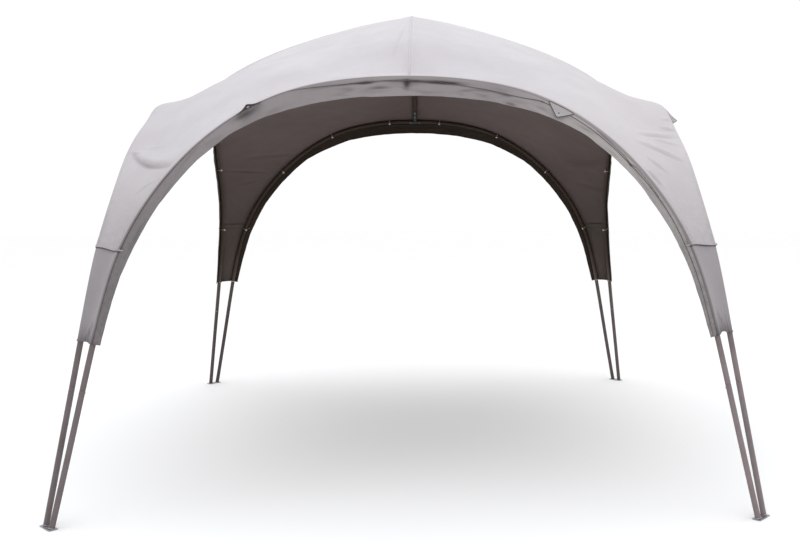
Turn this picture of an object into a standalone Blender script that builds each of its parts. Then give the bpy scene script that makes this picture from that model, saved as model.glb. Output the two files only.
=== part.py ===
"""Garden gazebo: four bent tube arches, crossed roof ribs and a fitted fabric canopy.

The frame is the same on all four sides. Each piece is worked out once, at the front
or at the front left corner, and turned about the middle by quarter turns.
Metres, +Z up, origin on the ground in the middle.
"""
import math

import bmesh
import bpy
import numpy as np
from mathutils import Matrix, Vector

# Driving dimensions of the frame, in metres
TUBE_RADIUS = 0.0143
LEG_FOOT = (1.728, 1.772, 0.0)
LEG_TOP = (1.533, 1.632, 0.95)
SNAP_HEIGHT = 0.66
ARCH_REACH = 1.36
ARCH_TOP = 2.208
HUB_RADIUS = 0.036
HUB_HEIGHT = 0.024
HUB_DROP = 0.010
HUB_RIM = 0.002
SOCKET_REACH = 1.30
SOCKET_RADIUS = 0.0132
RIB_END = 0.003
SEAT_CUT = 0.1
PLATE_LENGTH = 0.112
PLATE_WIDTH = 0.046
PLATE_THICKNESS = 0.004
PLATE_CENTRE = 1.75
PLATE_CORNER = 0.006
SEAT_RISE = 0.004

# Bent part of an arch: half width, reach from the middle, height
ARCH_BEND = (
    (1.404, 1.574, 1.375),
    (1.258, 1.540, 1.622),
    (1.072, 1.520, 1.832),
    (0.860, 1.486, 1.998),
    (0.624, 1.430, 2.118),
    (0.373, 1.382, 2.181),
    (0.0, ARCH_REACH, ARCH_TOP),
)

# Roof rib: reach from the middle, height
RIB_BEND = (
    (0.0, 2.757),
    (0.2, 2.727),
    (0.4, 2.681),
    (0.8, 2.559),
    (1.1, 2.427),
    (1.26, 2.318),
    (ARCH_REACH, ARCH_TOP),
)

# Driving dimensions of the fabric, in metres
CLOTH = 0.002
SLEEVE_FOOT = 0.89
HEM_HEIGHT = 1.34
TAB_HALF_WIDTH = 0.8
TAB_HALF_LENGTH = 0.0735
TAB_DROP = 0.054
TAB_END_DROP = 0.004
TAB_THICKNESS = 0.0016

# How far the valance hangs past the tube's centre line: height, depth
VALANCE_DEPTH = ((0.89, 0.038), (1.40, 0.055), (1.95, 0.056), (2.12, 0.082), (2.21, 0.092))

# How far a canopy panel swells outward between its edges: |x| + |y| there, swell
PANEL_SWELL = (
    (0.3, 0.005),
    (0.6, 0.017),
    (0.9, 0.037),
    (1.1, 0.055),
    (1.2, 0.080),
    (1.28, 0.125),
    (1.36, 0.190),
    (1.46, 0.170),
    (1.6, 0.135),
    (1.75, 0.105),
    (1.9, 0.070),
    (2.05, 0.038),
    (2.35, 0.008),
    (2.6, 0.0),
)
SWELL_FROM = (0.0, 0.0, 1.0)

# Clearances and steps of the surfaces
GAP = 0.0003
CLOTH_CLEAR = 0.0006
CLOTH_OFFSET = TUBE_RADIUS + CLOTH_CLEAR + CLOTH / 2
RIDGE_OFFSET = CLOTH_OFFSET / math.cos(math.radians(30.0))
RIB_EDGE_TURN = math.radians(40.0)
RIB_EDGE_OFFSET = CLOTH_OFFSET / math.cos(RIB_EDGE_TURN / 2)
RIDGE_TURN = math.radians(28.0)
RIDGE_EASE = 0.4
SEAM_RISE = 0.010
SEAM_FALL = 0.0155
SEAM_GAP = 0.0012
HEM_GAP = 0.0006
TAB_CLEAR = 0.0005
GORE_START = 0.012
GORE_CLEAR = 0.0007
GORE_COLUMNS = 9
SLEEVE_STEPS = 3
ARCH_STEP = 0.15
RIB_ROWS = (0.05, 0.2, 0.4, 0.6, 0.8, 0.97, 1.1, 1.2, SOCKET_REACH)

ARCH_NAMES = ("front", "right", "rear", "left")
CORNER_NAMES = ("front_left", "front_right", "rear_right", "rear_left")
CHORD = np.array((-1.0, 1.0, 0.0)) / math.sqrt(2.0)
INWARD = np.array((0.0, 1.0, 0.0))


def clear_scene():
    """Remove every object that the scene starts with."""
    for item in list(bpy.data.objects):
        bpy.data.objects.remove(item, do_unlink=True)


def make_material(name, colour, roughness, metallic):
    """Return a Principled material; the colour is linear RGB."""
    material = bpy.data.materials.new(name)
    material.use_nodes = True
    shader = material.node_tree.nodes["Principled BSDF"]
    shader.inputs["Base Color"].default_value = (*colour, 1.0)
    shader.inputs["Roughness"].default_value = roughness
    shader.inputs["Metallic"].default_value = metallic
    return material


def unit(vectors):
    """Return the vectors at length one, row by row."""
    return vectors / np.linalg.norm(vectors, axis=-1, keepdims=True)


class Spline:
    """Natural cubic spline through points in space, read by its chord length."""

    def __init__(self, points):
        """Work out the second derivative at each point."""
        self.points = np.array(points)
        self.steps = np.linalg.norm(np.diff(self.points, axis=0), axis=1)
        self.knots = np.concatenate([[0.0], np.cumsum(self.steps)])
        count = len(self.points)
        system = np.eye(count)
        pull = np.zeros_like(self.points)
        slopes = np.diff(self.points, axis=0) / self.steps[:, None]
        for i in range(1, count - 1):
            before, after = self.steps[i - 1], self.steps[i]
            system[i, i - 1:i + 2] = before, 2.0 * (before + after), after
            pull[i] = 6.0 * (slopes[i] - slopes[i - 1])
        self.bend = np.linalg.solve(system, pull)

    def at(self, length):
        """Return the points at the chord lengths given."""
        length = np.atleast_1d(np.asarray(length, dtype=float))
        i = np.clip(np.searchsorted(self.knots, length, side="right") - 1, 0, len(self.steps) - 1)
        step = self.steps[i][:, None]
        b = (length - self.knots[i])[:, None] / step
        a = 1.0 - b
        curve = (a ** 3 - a) * self.bend[i] + (b ** 3 - b) * self.bend[i + 1]
        return a * self.points[i] + b * self.points[i + 1] + curve * step ** 2 / 6.0

    def tangent(self, length, reach=0.002):
        """Return unit tangents from points just before and just after."""
        length = np.asarray(length, dtype=float)
        low = np.clip(length - reach, 0.0, self.knots[-1])
        high = np.clip(length + reach, 0.0, self.knots[-1])
        return unit(self.at(high) - self.at(low))


def arch_spline():
    """Return the centre line of the front arch, left foot to right foot."""
    foot, top = np.array(LEG_FOOT), np.array(LEG_TOP)
    half = [foot, 0.5 * (foot + top), top] + [np.array(point) for point in ARCH_BEND]
    left = [(-x, -y, z) for x, y, z in half]
    right = [(x, -y, z) for x, y, z in half[-2::-1]]
    return Spline(left + right)


ARCH = arch_spline()
ARCH_MIDDLE = ARCH.knots[-1] / 2.0
ARCH_SAMPLES = np.linspace(0.0, ARCH_MIDDLE, 2001)
ARCH_SAMPLE_POINTS = ARCH.at(ARCH_SAMPLES)

RIB = Spline([(0.0, -reach, height) for reach, height in RIB_BEND])
RIB_SAMPLES = np.linspace(0.0, RIB.knots[-1], 801)
RIB_SAMPLE_POINTS = RIB.at(RIB_SAMPLES)


def rib_length(reach):
    """Return the chord length on the front rib at a reach from the middle."""
    return np.interp(reach, -RIB_SAMPLE_POINTS[:, 1], RIB_SAMPLES)


def rib_height(reach):
    """Return the height of a rib's centre line at a reach from the middle."""
    return float(RIB.at(rib_length(reach))[0, 2])


def length_at_height(height):
    """Return the chord length on the left half of the arch at a height."""
    return float(np.interp(height, ARCH_SAMPLE_POINTS[:, 2], ARCH_SAMPLES))


def length_at_half_width(width):
    """Return the chord length on the left half of the arch at a half width."""
    return float(np.interp(-width, ARCH_SAMPLE_POINTS[:, 0], ARCH_SAMPLES))


SNAP = length_at_height(SNAP_HEIGHT)
SLEEVE_END = length_at_height(SLEEVE_FOOT)
HEM = length_at_height(HEM_HEIGHT)
TAB_MIDDLE = length_at_half_width(TAB_HALF_WIDTH)


def left_stations():
    """Return the lengths where tube, canopy and valance all have a section, hem to top."""
    tab = [TAB_MIDDLE - TAB_HALF_LENGTH, TAB_MIDDLE, TAB_MIDDLE + TAB_HALF_LENGTH]
    stretches = [(HEM, tab[0]), (tab[0], tab[1]), (tab[1], tab[2]), (tab[2], ARCH_MIDDLE)]
    stations = []
    for start, end in stretches:
        steps = max(1, round((end - start) / ARCH_STEP))
        stations.extend(np.linspace(start, end, steps + 1)[:-1])
    return np.array(stations + [ARCH_MIDDLE])


ROOF_STATIONS = left_stations()
SLEEVE_STATIONS = np.linspace(SLEEVE_END, HEM, SLEEVE_STEPS + 1)
LEFT_STATIONS = np.concatenate([SLEEVE_STATIONS[:-1], ROOF_STATIONS])
ALL_STATIONS = np.concatenate([LEFT_STATIONS, 2.0 * ARCH_MIDDLE - LEFT_STATIONS[-2::-1]])


def arch_frame(lengths):
    """Return points with their outward directions: away from the opening, and outdoors."""
    points = ARCH.at(lengths)
    tangents = ARCH.tangent(lengths)
    away = unit(np.cross(tangents, INWARD))
    outdoors = unit(np.cross(tangents, away))
    return points, tangents, away, outdoors


def canopy_lean(tangents, away, outdoors):
    """Return the angle from the away direction to the normal of a level chord's surface."""
    normals = unit(np.cross(tangents, CHORD))
    normals = np.where((normals * away).sum(axis=1, keepdims=True) < 0.0, -normals, normals)
    return np.arctan2((normals * outdoors).sum(axis=1), (normals * away).sum(axis=1))


def canopy_edge(lengths):
    """Return the seam and the ridge points of the canopy along the front arch."""
    points, tangents, away, outdoors = arch_frame(lengths)
    lean = canopy_lean(tangents, away, outdoors)[:, None]
    rise = SEAM_RISE - SEAM_FALL * lean
    seam = points + away * rise + outdoors * CLOTH_OFFSET
    turn = lean + RIDGE_TURN - RIDGE_EASE * lean
    ridge = points + RIDGE_OFFSET * (away * np.cos(turn) + outdoors * np.sin(turn))
    return seam, ridge


def rib_edge(reaches):
    """Return the middle and the side points of the canopy over the front rib."""
    lengths = rib_length(reaches)
    left = np.array((-1.0, 0.0, 0.0))
    points = RIB.at(lengths)
    normals = unit(np.cross(left, RIB.tangent(lengths)))
    middle = points + RIB_EDGE_OFFSET * normals
    side = points + RIB_EDGE_OFFSET * (normals * math.cos(RIB_EDGE_TURN) + left * math.sin(RIB_EDGE_TURN))
    return middle, side


def swap_sides(points):
    """Return the points mirrored in the diagonal plane of the corner."""
    return points[:, [1, 0, 2]]


def corner_grid(edge, ridge):
    """Return rows of points from the front edge over swelling chords to the left edge."""
    share = np.linspace(0.0, 1.0, GORE_COLUMNS)[None, :, None]
    far = swap_sides(ridge)
    middle = (ridge + far) / 2.0
    spreads, amounts = zip(*PANEL_SWELL)
    swell = np.interp(-middle[:, 0] - middle[:, 1], spreads, amounts)[:, None] * unit(middle - SWELL_FROM)
    chords = ridge[:, None, :] * (1.0 - share) + far[:, None, :] * share
    chords = chords + 4.0 * share * (1.0 - share) * swell[:, None, :]
    return np.concatenate([edge[:, None, :], chords, swap_sides(edge)[:, None, :]], axis=1)


def gore_grid():
    """Return the canopy over the front left corner, crown to hem."""
    rib_middle, rib_side = rib_edge([GORE_START, *RIB_ROWS])
    seam, ridge = canopy_edge(ROOF_STATIONS[::-1])
    grid = corner_grid(np.concatenate([rib_middle, seam]), np.concatenate([rib_side, ridge]))
    grid[:, :, :2] = np.minimum(grid[:, :, :2], -GORE_CLEAR)
    return grid


def sleeve_grid():
    """Return the fabric round the front left leg, hem to foot of the sleeve."""
    stations = SLEEVE_STATIONS[::-1].copy()
    stations[0] -= HEM_GAP
    seam, ridge = canopy_edge(stations)
    return corner_grid(seam, ridge)


def valance_depth(heights):
    """Return how far the valance hangs past the tube's centre line."""
    levels, depths = zip(*VALANCE_DEPTH)
    return np.interp(heights, levels, depths)


def valance_grid():
    """Return the valance of the front arch, in rows along the whole arch."""
    points, tangents, away, outdoors = arch_frame(ALL_STATIONS)
    half = len(LEFT_STATIONS)
    lean = canopy_lean(tangents[:half], away[:half], outdoors[:half])
    lean = np.concatenate([lean, lean[-2::-1]])[:, None]
    top = SEAM_RISE - SEAM_FALL * lean - SEAM_GAP
    foot = -valance_depth(points[:, 2])[:, None]
    outer = points + outdoors * CLOTH_OFFSET
    return np.stack([outer + away * top, outer + away * (top + foot) / 2.0, outer + away * foot], axis=1)


def tab_grid(side):
    """Return a hanging tab on the front arch, left for side -1 and right for side 1."""
    stations = TAB_MIDDLE + np.array((-TAB_HALF_LENGTH, 0.0, TAB_HALF_LENGTH))
    if side > 0:
        stations = 2.0 * ARCH_MIDDLE - stations[::-1]
    points, _, away, outdoors = arch_frame(stations)
    offset = CLOTH_OFFSET + CLOTH / 2 + TAB_CLEAR + TAB_THICKNESS / 2
    outer = points + outdoors * offset
    drop = np.array((TAB_END_DROP, TAB_DROP, TAB_END_DROP))[:, None]
    return np.stack([outer, outer - away * drop], axis=1)


def link_object(name, data, collection, material, turn=0):
    """Add an object to the collection, turned by quarter turns about the middle."""
    item = bpy.data.objects.new(name, data)
    collection.objects.link(item)
    item.data.materials.append(material)
    item.rotation_euler[2] = turn * math.pi / 2.0
    return item


def add_sheet(name, grid, thickness, collection, material, turn=0):
    """Add a sheet with a wall thickness, from rows of points."""
    rows, columns = grid.shape[:2]
    index = np.arange(rows * columns).reshape(rows, columns)
    corners = (index[:-1, :-1], index[1:, :-1], index[1:, 1:], index[:-1, 1:])
    faces = np.stack([corner.ravel() for corner in corners], axis=1)
    mesh = bpy.data.meshes.new(name)
    mesh.from_pydata(grid.reshape(-1, 3).tolist(), [], faces.tolist())
    mesh.update()
    mesh.shade_smooth()
    item = link_object(name, mesh, collection, material, turn)
    wall = item.modifiers.new("Thickness", "SOLIDIFY")
    wall.thickness = thickness
    wall.offset = 0.0
    return item


def add_tube(name, points, collection, material, turn=0, radius=TUBE_RADIUS):
    """Add a round tube along straight runs between points."""
    curve = bpy.data.curves.new(name, "CURVE")
    curve.dimensions = "3D"
    curve.bevel_depth = radius
    curve.bevel_resolution = 2
    curve.use_fill_caps = True
    run = curve.splines.new("POLY")
    run.points.add(len(points) - 1)
    for place, point in zip(run.points, points):
        place.co = (*point, 1.0)
    return link_object(name, curve, collection, material, turn)


def add_foot_plate(name, collection, material, turn):
    """Add the flat plate under a corner, long side across the diagonal."""
    mesh = bpy.data.meshes.new(name)
    shape = bmesh.new()
    bmesh.ops.create_cube(shape, size=1.0)
    bmesh.ops.scale(shape, vec=(PLATE_LENGTH, PLATE_WIDTH, PLATE_THICKNESS), verts=shape.verts)
    upright = [edge for edge in shape.edges if abs(edge.verts[0].co.z - edge.verts[1].co.z) > 0.001]
    bmesh.ops.bevel(shape, geom=upright, offset=PLATE_CORNER, segments=3, profile=0.5, affect="EDGES")
    shape.to_mesh(mesh)
    shape.free()
    place = Matrix.Translation((-PLATE_CENTRE, -PLATE_CENTRE, PLATE_THICKNESS / 2))
    mesh.transform(place @ Matrix.Rotation(-math.pi / 4.0, 4, "Z"))
    return link_object(name, mesh, collection, material, turn)


def add_hub(collection, material):
    """Add the round block where the four roof ribs meet."""
    mesh = bpy.data.meshes.new("crown_hub")
    shape = bmesh.new()
    place = Matrix.Translation((0.0, 0.0, rib_height(HUB_RADIUS) - HUB_DROP))
    radius = HUB_RADIUS
    bmesh.ops.create_cone(
        shape, cap_ends=True, segments=32, radius1=radius, radius2=radius, depth=HUB_HEIGHT, matrix=place
    )
    shape.to_mesh(mesh)
    shape.free()
    mesh.shade_smooth()
    mesh.set_sharp_from_angle(angle=math.radians(40.0))
    item = link_object("crown_hub", mesh, collection, material)
    rim = item.modifiers.new("Rounded rim", "BEVEL")
    rim.width = HUB_RIM
    rim.segments = 2
    return item


def socket_run():
    """Return where the rib meets its socket, the way into it, and the arch's middle."""
    mouth = RIB.at(rib_length(SOCKET_REACH))[0]
    middle = ARCH.at(ARCH_MIDDLE)[0]
    return mouth, unit(middle - mouth), middle


def add_rib(name, collection, material, turn):
    """Add a roof rib from the hub to its socket on the arch."""
    points = RIB.at(rib_length([HUB_RADIUS + GAP, *RIB_ROWS]))
    points[0, 2] = points[1, 2]
    mouth, way, _ = socket_run()
    points = np.concatenate([points, [mouth + way * RIB_END]])
    return add_tube(name, points, collection, material, turn)


def add_socket(name, collection, cutters, material, turn):
    """Add the socket that holds a rib against the middle of an arch."""
    mouth, way, middle = socket_run()
    start = mouth + way * (RIB_END + GAP)
    source = add_tube(name + "_run", [start, middle], collection, material, radius=SOCKET_RADIUS)
    bpy.context.view_layer.update()
    evaluated = source.evaluated_get(bpy.context.evaluated_depsgraph_get())
    mesh = bpy.data.meshes.new_from_object(evaluated)
    mesh.name = name
    bpy.data.objects.remove(source, do_unlink=True)
    shape = bmesh.new()
    shape.from_mesh(mesh)
    bmesh.ops.remove_doubles(shape, verts=shape.verts, dist=0.00001)
    shape.to_mesh(mesh)
    shape.free()
    mesh.materials.clear()
    item = link_object(name, mesh, collection, material, turn)
    cut = item.modifiers.new("Seat on the arch", "BOOLEAN")
    cut.operation = "DIFFERENCE"
    cut.solver = "EXACT"
    cut.object = add_seat_cutter(name + "_cutter", middle, cutters, material, turn)
    return item


def add_seat_cutter(name, middle, cutters, material, turn):
    """Add a short cylinder along the arch's middle, a little wider than the tube."""
    mesh = bpy.data.meshes.new(name)
    shape = bmesh.new()
    radius = TUBE_RADIUS + GAP
    turned = Matrix.Translation(Vector(middle)) @ Matrix.Rotation(math.pi / 2.0, 4, "Y")
    bmesh.ops.create_cone(
        shape, cap_ends=True, segments=24, radius1=radius, radius2=radius, depth=SEAT_CUT, matrix=turned
    )
    shape.to_mesh(mesh)
    shape.free()
    cutter = link_object(name, mesh, cutters, material, turn)
    cutter.hide_render = True
    cutter.display_type = "WIRE"
    return cutter


def leg_points(foot_end):
    """Return the runs of a lower leg, with a short upright start on its plate."""
    top = ARCH.at(SNAP - GAP)[0]
    seat = foot_end.copy()
    seat[2] = PLATE_THICKNESS + GAP
    rise = seat + np.array((0.0, 0.0, SEAT_RISE))
    return np.array([seat, rise, top])


def add_legs(collection, material):
    """Add the two lower tubes of each corner."""
    front = leg_points(ARCH.at(0.0)[0])
    for turn, corner in enumerate(CORNER_NAMES):
        add_tube(f"{corner}_leg_{ARCH_NAMES[turn]}", front, collection, material, turn)
        before = ARCH_NAMES[turn - 1]
        add_tube(f"{corner}_leg_{before}", swap_sides(front), collection, material, turn)


def add_arches(collection, material):
    """Add the bent tube of each arch, from snap joint to snap joint."""
    left = np.concatenate([[SNAP + GAP], LEFT_STATIONS])
    stations = np.concatenate([left, 2.0 * ARCH_MIDDLE - left[-2::-1]])
    points = ARCH.at(stations)
    for turn, name in enumerate(ARCH_NAMES):
        add_tube(f"{name}_arch_tube", points, collection, material, turn)


def main():
    """Build the gazebo."""
    clear_scene()
    parts = bpy.data.collections.new("Garden gazebo")
    cutters = bpy.data.collections.new("Cutters")
    bpy.context.scene.collection.children.link(parts)
    bpy.context.scene.collection.children.link(cutters)
    steel = make_material("Powder coated steel", (0.145, 0.125, 0.12), 0.45, 0.1)
    zinc = make_material("Zinc plated steel", (0.5, 0.5, 0.5), 0.4, 0.9)
    plastic = make_material("Black plastic", (0.02, 0.02, 0.02), 0.5, 0.0)
    roof_cloth = make_material("Roof cloth", (0.62, 0.6, 0.64), 0.8, 0.0)
    sleeve_cloth = make_material("Sleeve cloth", (0.42, 0.4, 0.42), 0.8, 0.0)
    trim_cloth = make_material("Valance cloth", (0.28, 0.26, 0.27), 0.8, 0.0)

    add_legs(parts, steel)
    add_arches(parts, steel)
    add_hub(parts, plastic)
    gore, sleeve, valance = gore_grid(), sleeve_grid(), valance_grid()
    for turn, (arch, corner) in enumerate(zip(ARCH_NAMES, CORNER_NAMES)):
        add_foot_plate(f"{corner}_foot_plate", parts, zinc, turn)
        add_rib(f"{arch}_roof_rib", parts, steel, turn)
        add_socket(f"{arch}_rib_socket", parts, cutters, plastic, turn)
        add_sheet(f"{corner}_canopy_panel", gore, CLOTH, parts, roof_cloth, turn)
        add_sheet(f"{corner}_leg_sleeve", sleeve, CLOTH, parts, sleeve_cloth, turn)
        add_sheet(f"{arch}_valance", valance, CLOTH, parts, trim_cloth, turn)
        add_sheet(f"{arch}_valance_tab_left", tab_grid(-1), TAB_THICKNESS, parts, trim_cloth, turn)
        add_sheet(f"{arch}_valance_tab_right", tab_grid(1), TAB_THICKNESS, parts, trim_cloth, turn)


main()
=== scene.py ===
"""Garden gazebo, dressed: sewn cloth over powder coated tube arches.

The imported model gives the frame. Each class below stands for one sub-assembly: it
works out its surfaces with numpy, builds the meshes and gives them their finishes.
A piece is worked out once, at the front arch or the front left corner, and turned
about the middle by quarter turns. Metres, +Z up, origin on the ground in the middle.
"""
import logging
import math
from dataclasses import dataclass, replace
from enum import Enum
from functools import partial

import bmesh
import bpy
import numpy as np
from mathutils import Matrix


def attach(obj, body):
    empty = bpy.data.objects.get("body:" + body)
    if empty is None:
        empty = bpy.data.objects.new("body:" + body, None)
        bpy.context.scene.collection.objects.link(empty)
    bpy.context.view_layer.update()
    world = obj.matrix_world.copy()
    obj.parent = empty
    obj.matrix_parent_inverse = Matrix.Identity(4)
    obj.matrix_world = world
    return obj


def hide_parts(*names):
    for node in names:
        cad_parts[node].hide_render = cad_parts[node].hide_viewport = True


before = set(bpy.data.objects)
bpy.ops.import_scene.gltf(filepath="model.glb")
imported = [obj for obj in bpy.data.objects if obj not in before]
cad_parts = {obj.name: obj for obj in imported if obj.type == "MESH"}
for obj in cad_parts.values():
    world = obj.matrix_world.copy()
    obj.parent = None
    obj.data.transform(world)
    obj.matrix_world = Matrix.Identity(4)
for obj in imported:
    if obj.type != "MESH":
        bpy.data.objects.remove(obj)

Array = np.ndarray
LOG = logging.getLogger("gazebo")
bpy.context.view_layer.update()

ARCHES = ("front", "right", "rear", "left")
CORNERS = ("front_left", "front_right", "rear_right", "rear_left")
INWARD = np.array((0, 1, 0))
LEFTWARD = np.array((-1, 0, 0))
UPWARD = np.array((0, 0, 1))
FULL_TURN = 2 * math.pi
SQUARE = 0.5 * math.pi
TINY = 1e-12
# Places along a line that is read from a table
FINE_STEPS = 4001
# Vertices nearer than this are one
WELD = 1e-6
# A stitch is about 3 mm long; it is drawn a little longer, so that it still shows
STITCH_LENGTH = 0.0038
STITCH_WIDTH = 0.0009
# The canopy swells away from this point in the room
ROOM_MIDDLE = np.array((0, 0, 1))


# Shapes: lines and small helpers


def unit(vectors: Array) -> Array:
    """Return the vectors at length one; a zero vector stays zero."""
    return vectors / np.maximum(np.linalg.norm(vectors, axis=-1, keepdims=True), TINY)


def swap_sides(points: Array) -> Array:
    """Return the points mirrored in the upright diagonal plane x = y."""
    return points[..., [1, 0, 2]]


def quarter_turn(points: Array, turns: int) -> Array:
    """Return the points after quarter turns about the middle, each (x, y) to (-y, x)."""
    c, s = ((1, 0), (0, 1), (-1, 0), (0, -1))[turns % 4]
    return points @ np.array(((c, s, 0), (-s, c, 0), (0, 0, 1)))


def smooth_step(value: Array, low: float, high: float) -> Array:
    """Return 0 below low, 1 above high, and 3t^2 - 2t^3 between them."""
    t = np.clip((value - low) / (high - low), 0, 1)
    return t * t * (3 - 2 * t)


def smooth_table(value: Array, table: tuple) -> Array:
    """Read a table as a smooth curve, level outside its rows.

    Between two rows the curve is the cubic that has each row's amount, and the slope
    of the line between that row's neighbours.

    Args:
        value: the places to read.
        table: rows of (place, amount), places rising.

    Returns:
        The amounts.
    """
    places, amounts = np.array(table).T
    slopes = np.gradient(amounts, places)
    value = np.clip(value, places[0], places[-1])
    i = np.clip(np.searchsorted(places, value, side="right") - 1, 0, len(places) - 2)
    span = places[i + 1] - places[i]
    t = (value - places[i]) / span
    start = amounts[i] * (1 + 2 * t) * (1 - t) ** 2 + slopes[i] * span * t * (1 - t) ** 2
    end = amounts[i + 1] * t ** 2 * (3 - 2 * t) - slopes[i + 1] * span * t ** 2 * (1 - t)
    return start + end


def running_length(points: Array, axis: int) -> Array:
    """Return how far each point is along a grid's axis, from its first point, in metres."""
    steps = np.linalg.norm(np.diff(points, axis=axis), axis=-1)
    return np.concatenate([0 * steps.take([0], axis), steps.cumsum(axis)], axis)


def bell(points: Array, centre: tuple, radius: float) -> Array:
    """Return exp(-(distance / radius)^2) at each point."""
    return np.exp(-(np.linalg.norm(points - np.array(centre), axis=-1) / radius) ** 2)


def crowded(start: float, end: float, count: int, crowds: tuple) -> Array:
    """Return places that stand closer together round some of them.

    Their density is 1 + sum of gain * exp(-((place - middle) / width)^2).

    Args:
        start: the first place.
        end: the last place.
        count: how many places.
        crowds: rows of (middle, width, gain).

    Returns:
        The places, where the running sum of the density passes even steps.
    """
    fine = np.linspace(start, end, FINE_STEPS)
    density = 1 + sum(gain * np.exp(-((fine - middle) / width) ** 2) for middle, width, gain in crowds)
    total = np.cumsum(density)
    return np.interp(np.linspace(total[0], total[-1], count), total, fine)


class Spline:
    """Natural cubic spline through points in space, read by its chord length."""

    def __init__(self, points: list) -> None:
        """Work out the second derivative at each point.

        Args:
            points: rows of x, y, z.
        """
        self.points = np.array(points, dtype=float)
        steps = np.linalg.norm(np.diff(self.points, axis=0), axis=1)
        slopes = np.diff(self.points, axis=0) / steps[:, None]
        system, pull = np.eye(len(self.points)), np.zeros_like(self.points)
        for i in range(1, len(self.points) - 1):
            system[i, i - 1:i + 2] = steps[i - 1], 2 * (steps[i - 1] + steps[i]), steps[i]
            pull[i] = 6 * (slopes[i] - slopes[i - 1])
        self.knots = np.concatenate([[0], np.cumsum(steps)])
        self.bend = np.linalg.solve(system, pull)

    def at(self, length: Array) -> Array:
        """Return points: the line between two knots plus a cubic bend.

        Args:
            length: chord lengths in metres.

        Returns:
            One point for each length.
        """
        i = np.clip(np.searchsorted(self.knots, length, side="right") - 1, 0, len(self.knots) - 2)
        step = (self.knots[i + 1] - self.knots[i])[:, None]
        b = (length - self.knots[i])[:, None] / step
        a = 1 - b
        curve = (a ** 3 - a) * self.bend[i] + (b ** 3 - b) * self.bend[i + 1]
        return a * self.points[i] + b * self.points[i + 1] + curve * step ** 2 / 6

    def tangent(self, length: Array, reach: float = 0.002) -> Array:
        """Return unit tangents, from the points just before and just after."""
        low, high = (np.clip(length + way, 0, self.knots[-1]) for way in (-reach, reach))
        return unit(self.at(high) - self.at(low))


@dataclass(frozen=True)
class TubeSections:
    """Cross sections along a tube: its centre, and two directions square to it.

    The angle 0 looks to the cloth's side of the tube, and a quarter turn from it
    looks to the side where the cloth is sewn.
    """

    centre: Array
    along: Array
    away: Array
    seamward: Array

    def rim(self, angle: Array, radius: Array) -> Array:
        """Return points round the tube: centre + radius * (away * cos + seamward * sin).

        Args:
            angle: angles from away towards seamward, one row for each section.
            radius: distance from the centre line, a number or one for each angle.

        Returns:
            A point for each section and angle.
        """
        radius = np.broadcast_to(radius, angle.shape)[..., None]
        angle = angle[..., None]
        across = self.away[:, None] * np.cos(angle) + self.seamward[:, None] * np.sin(angle)
        return self.centre[:, None] + radius * across


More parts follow.
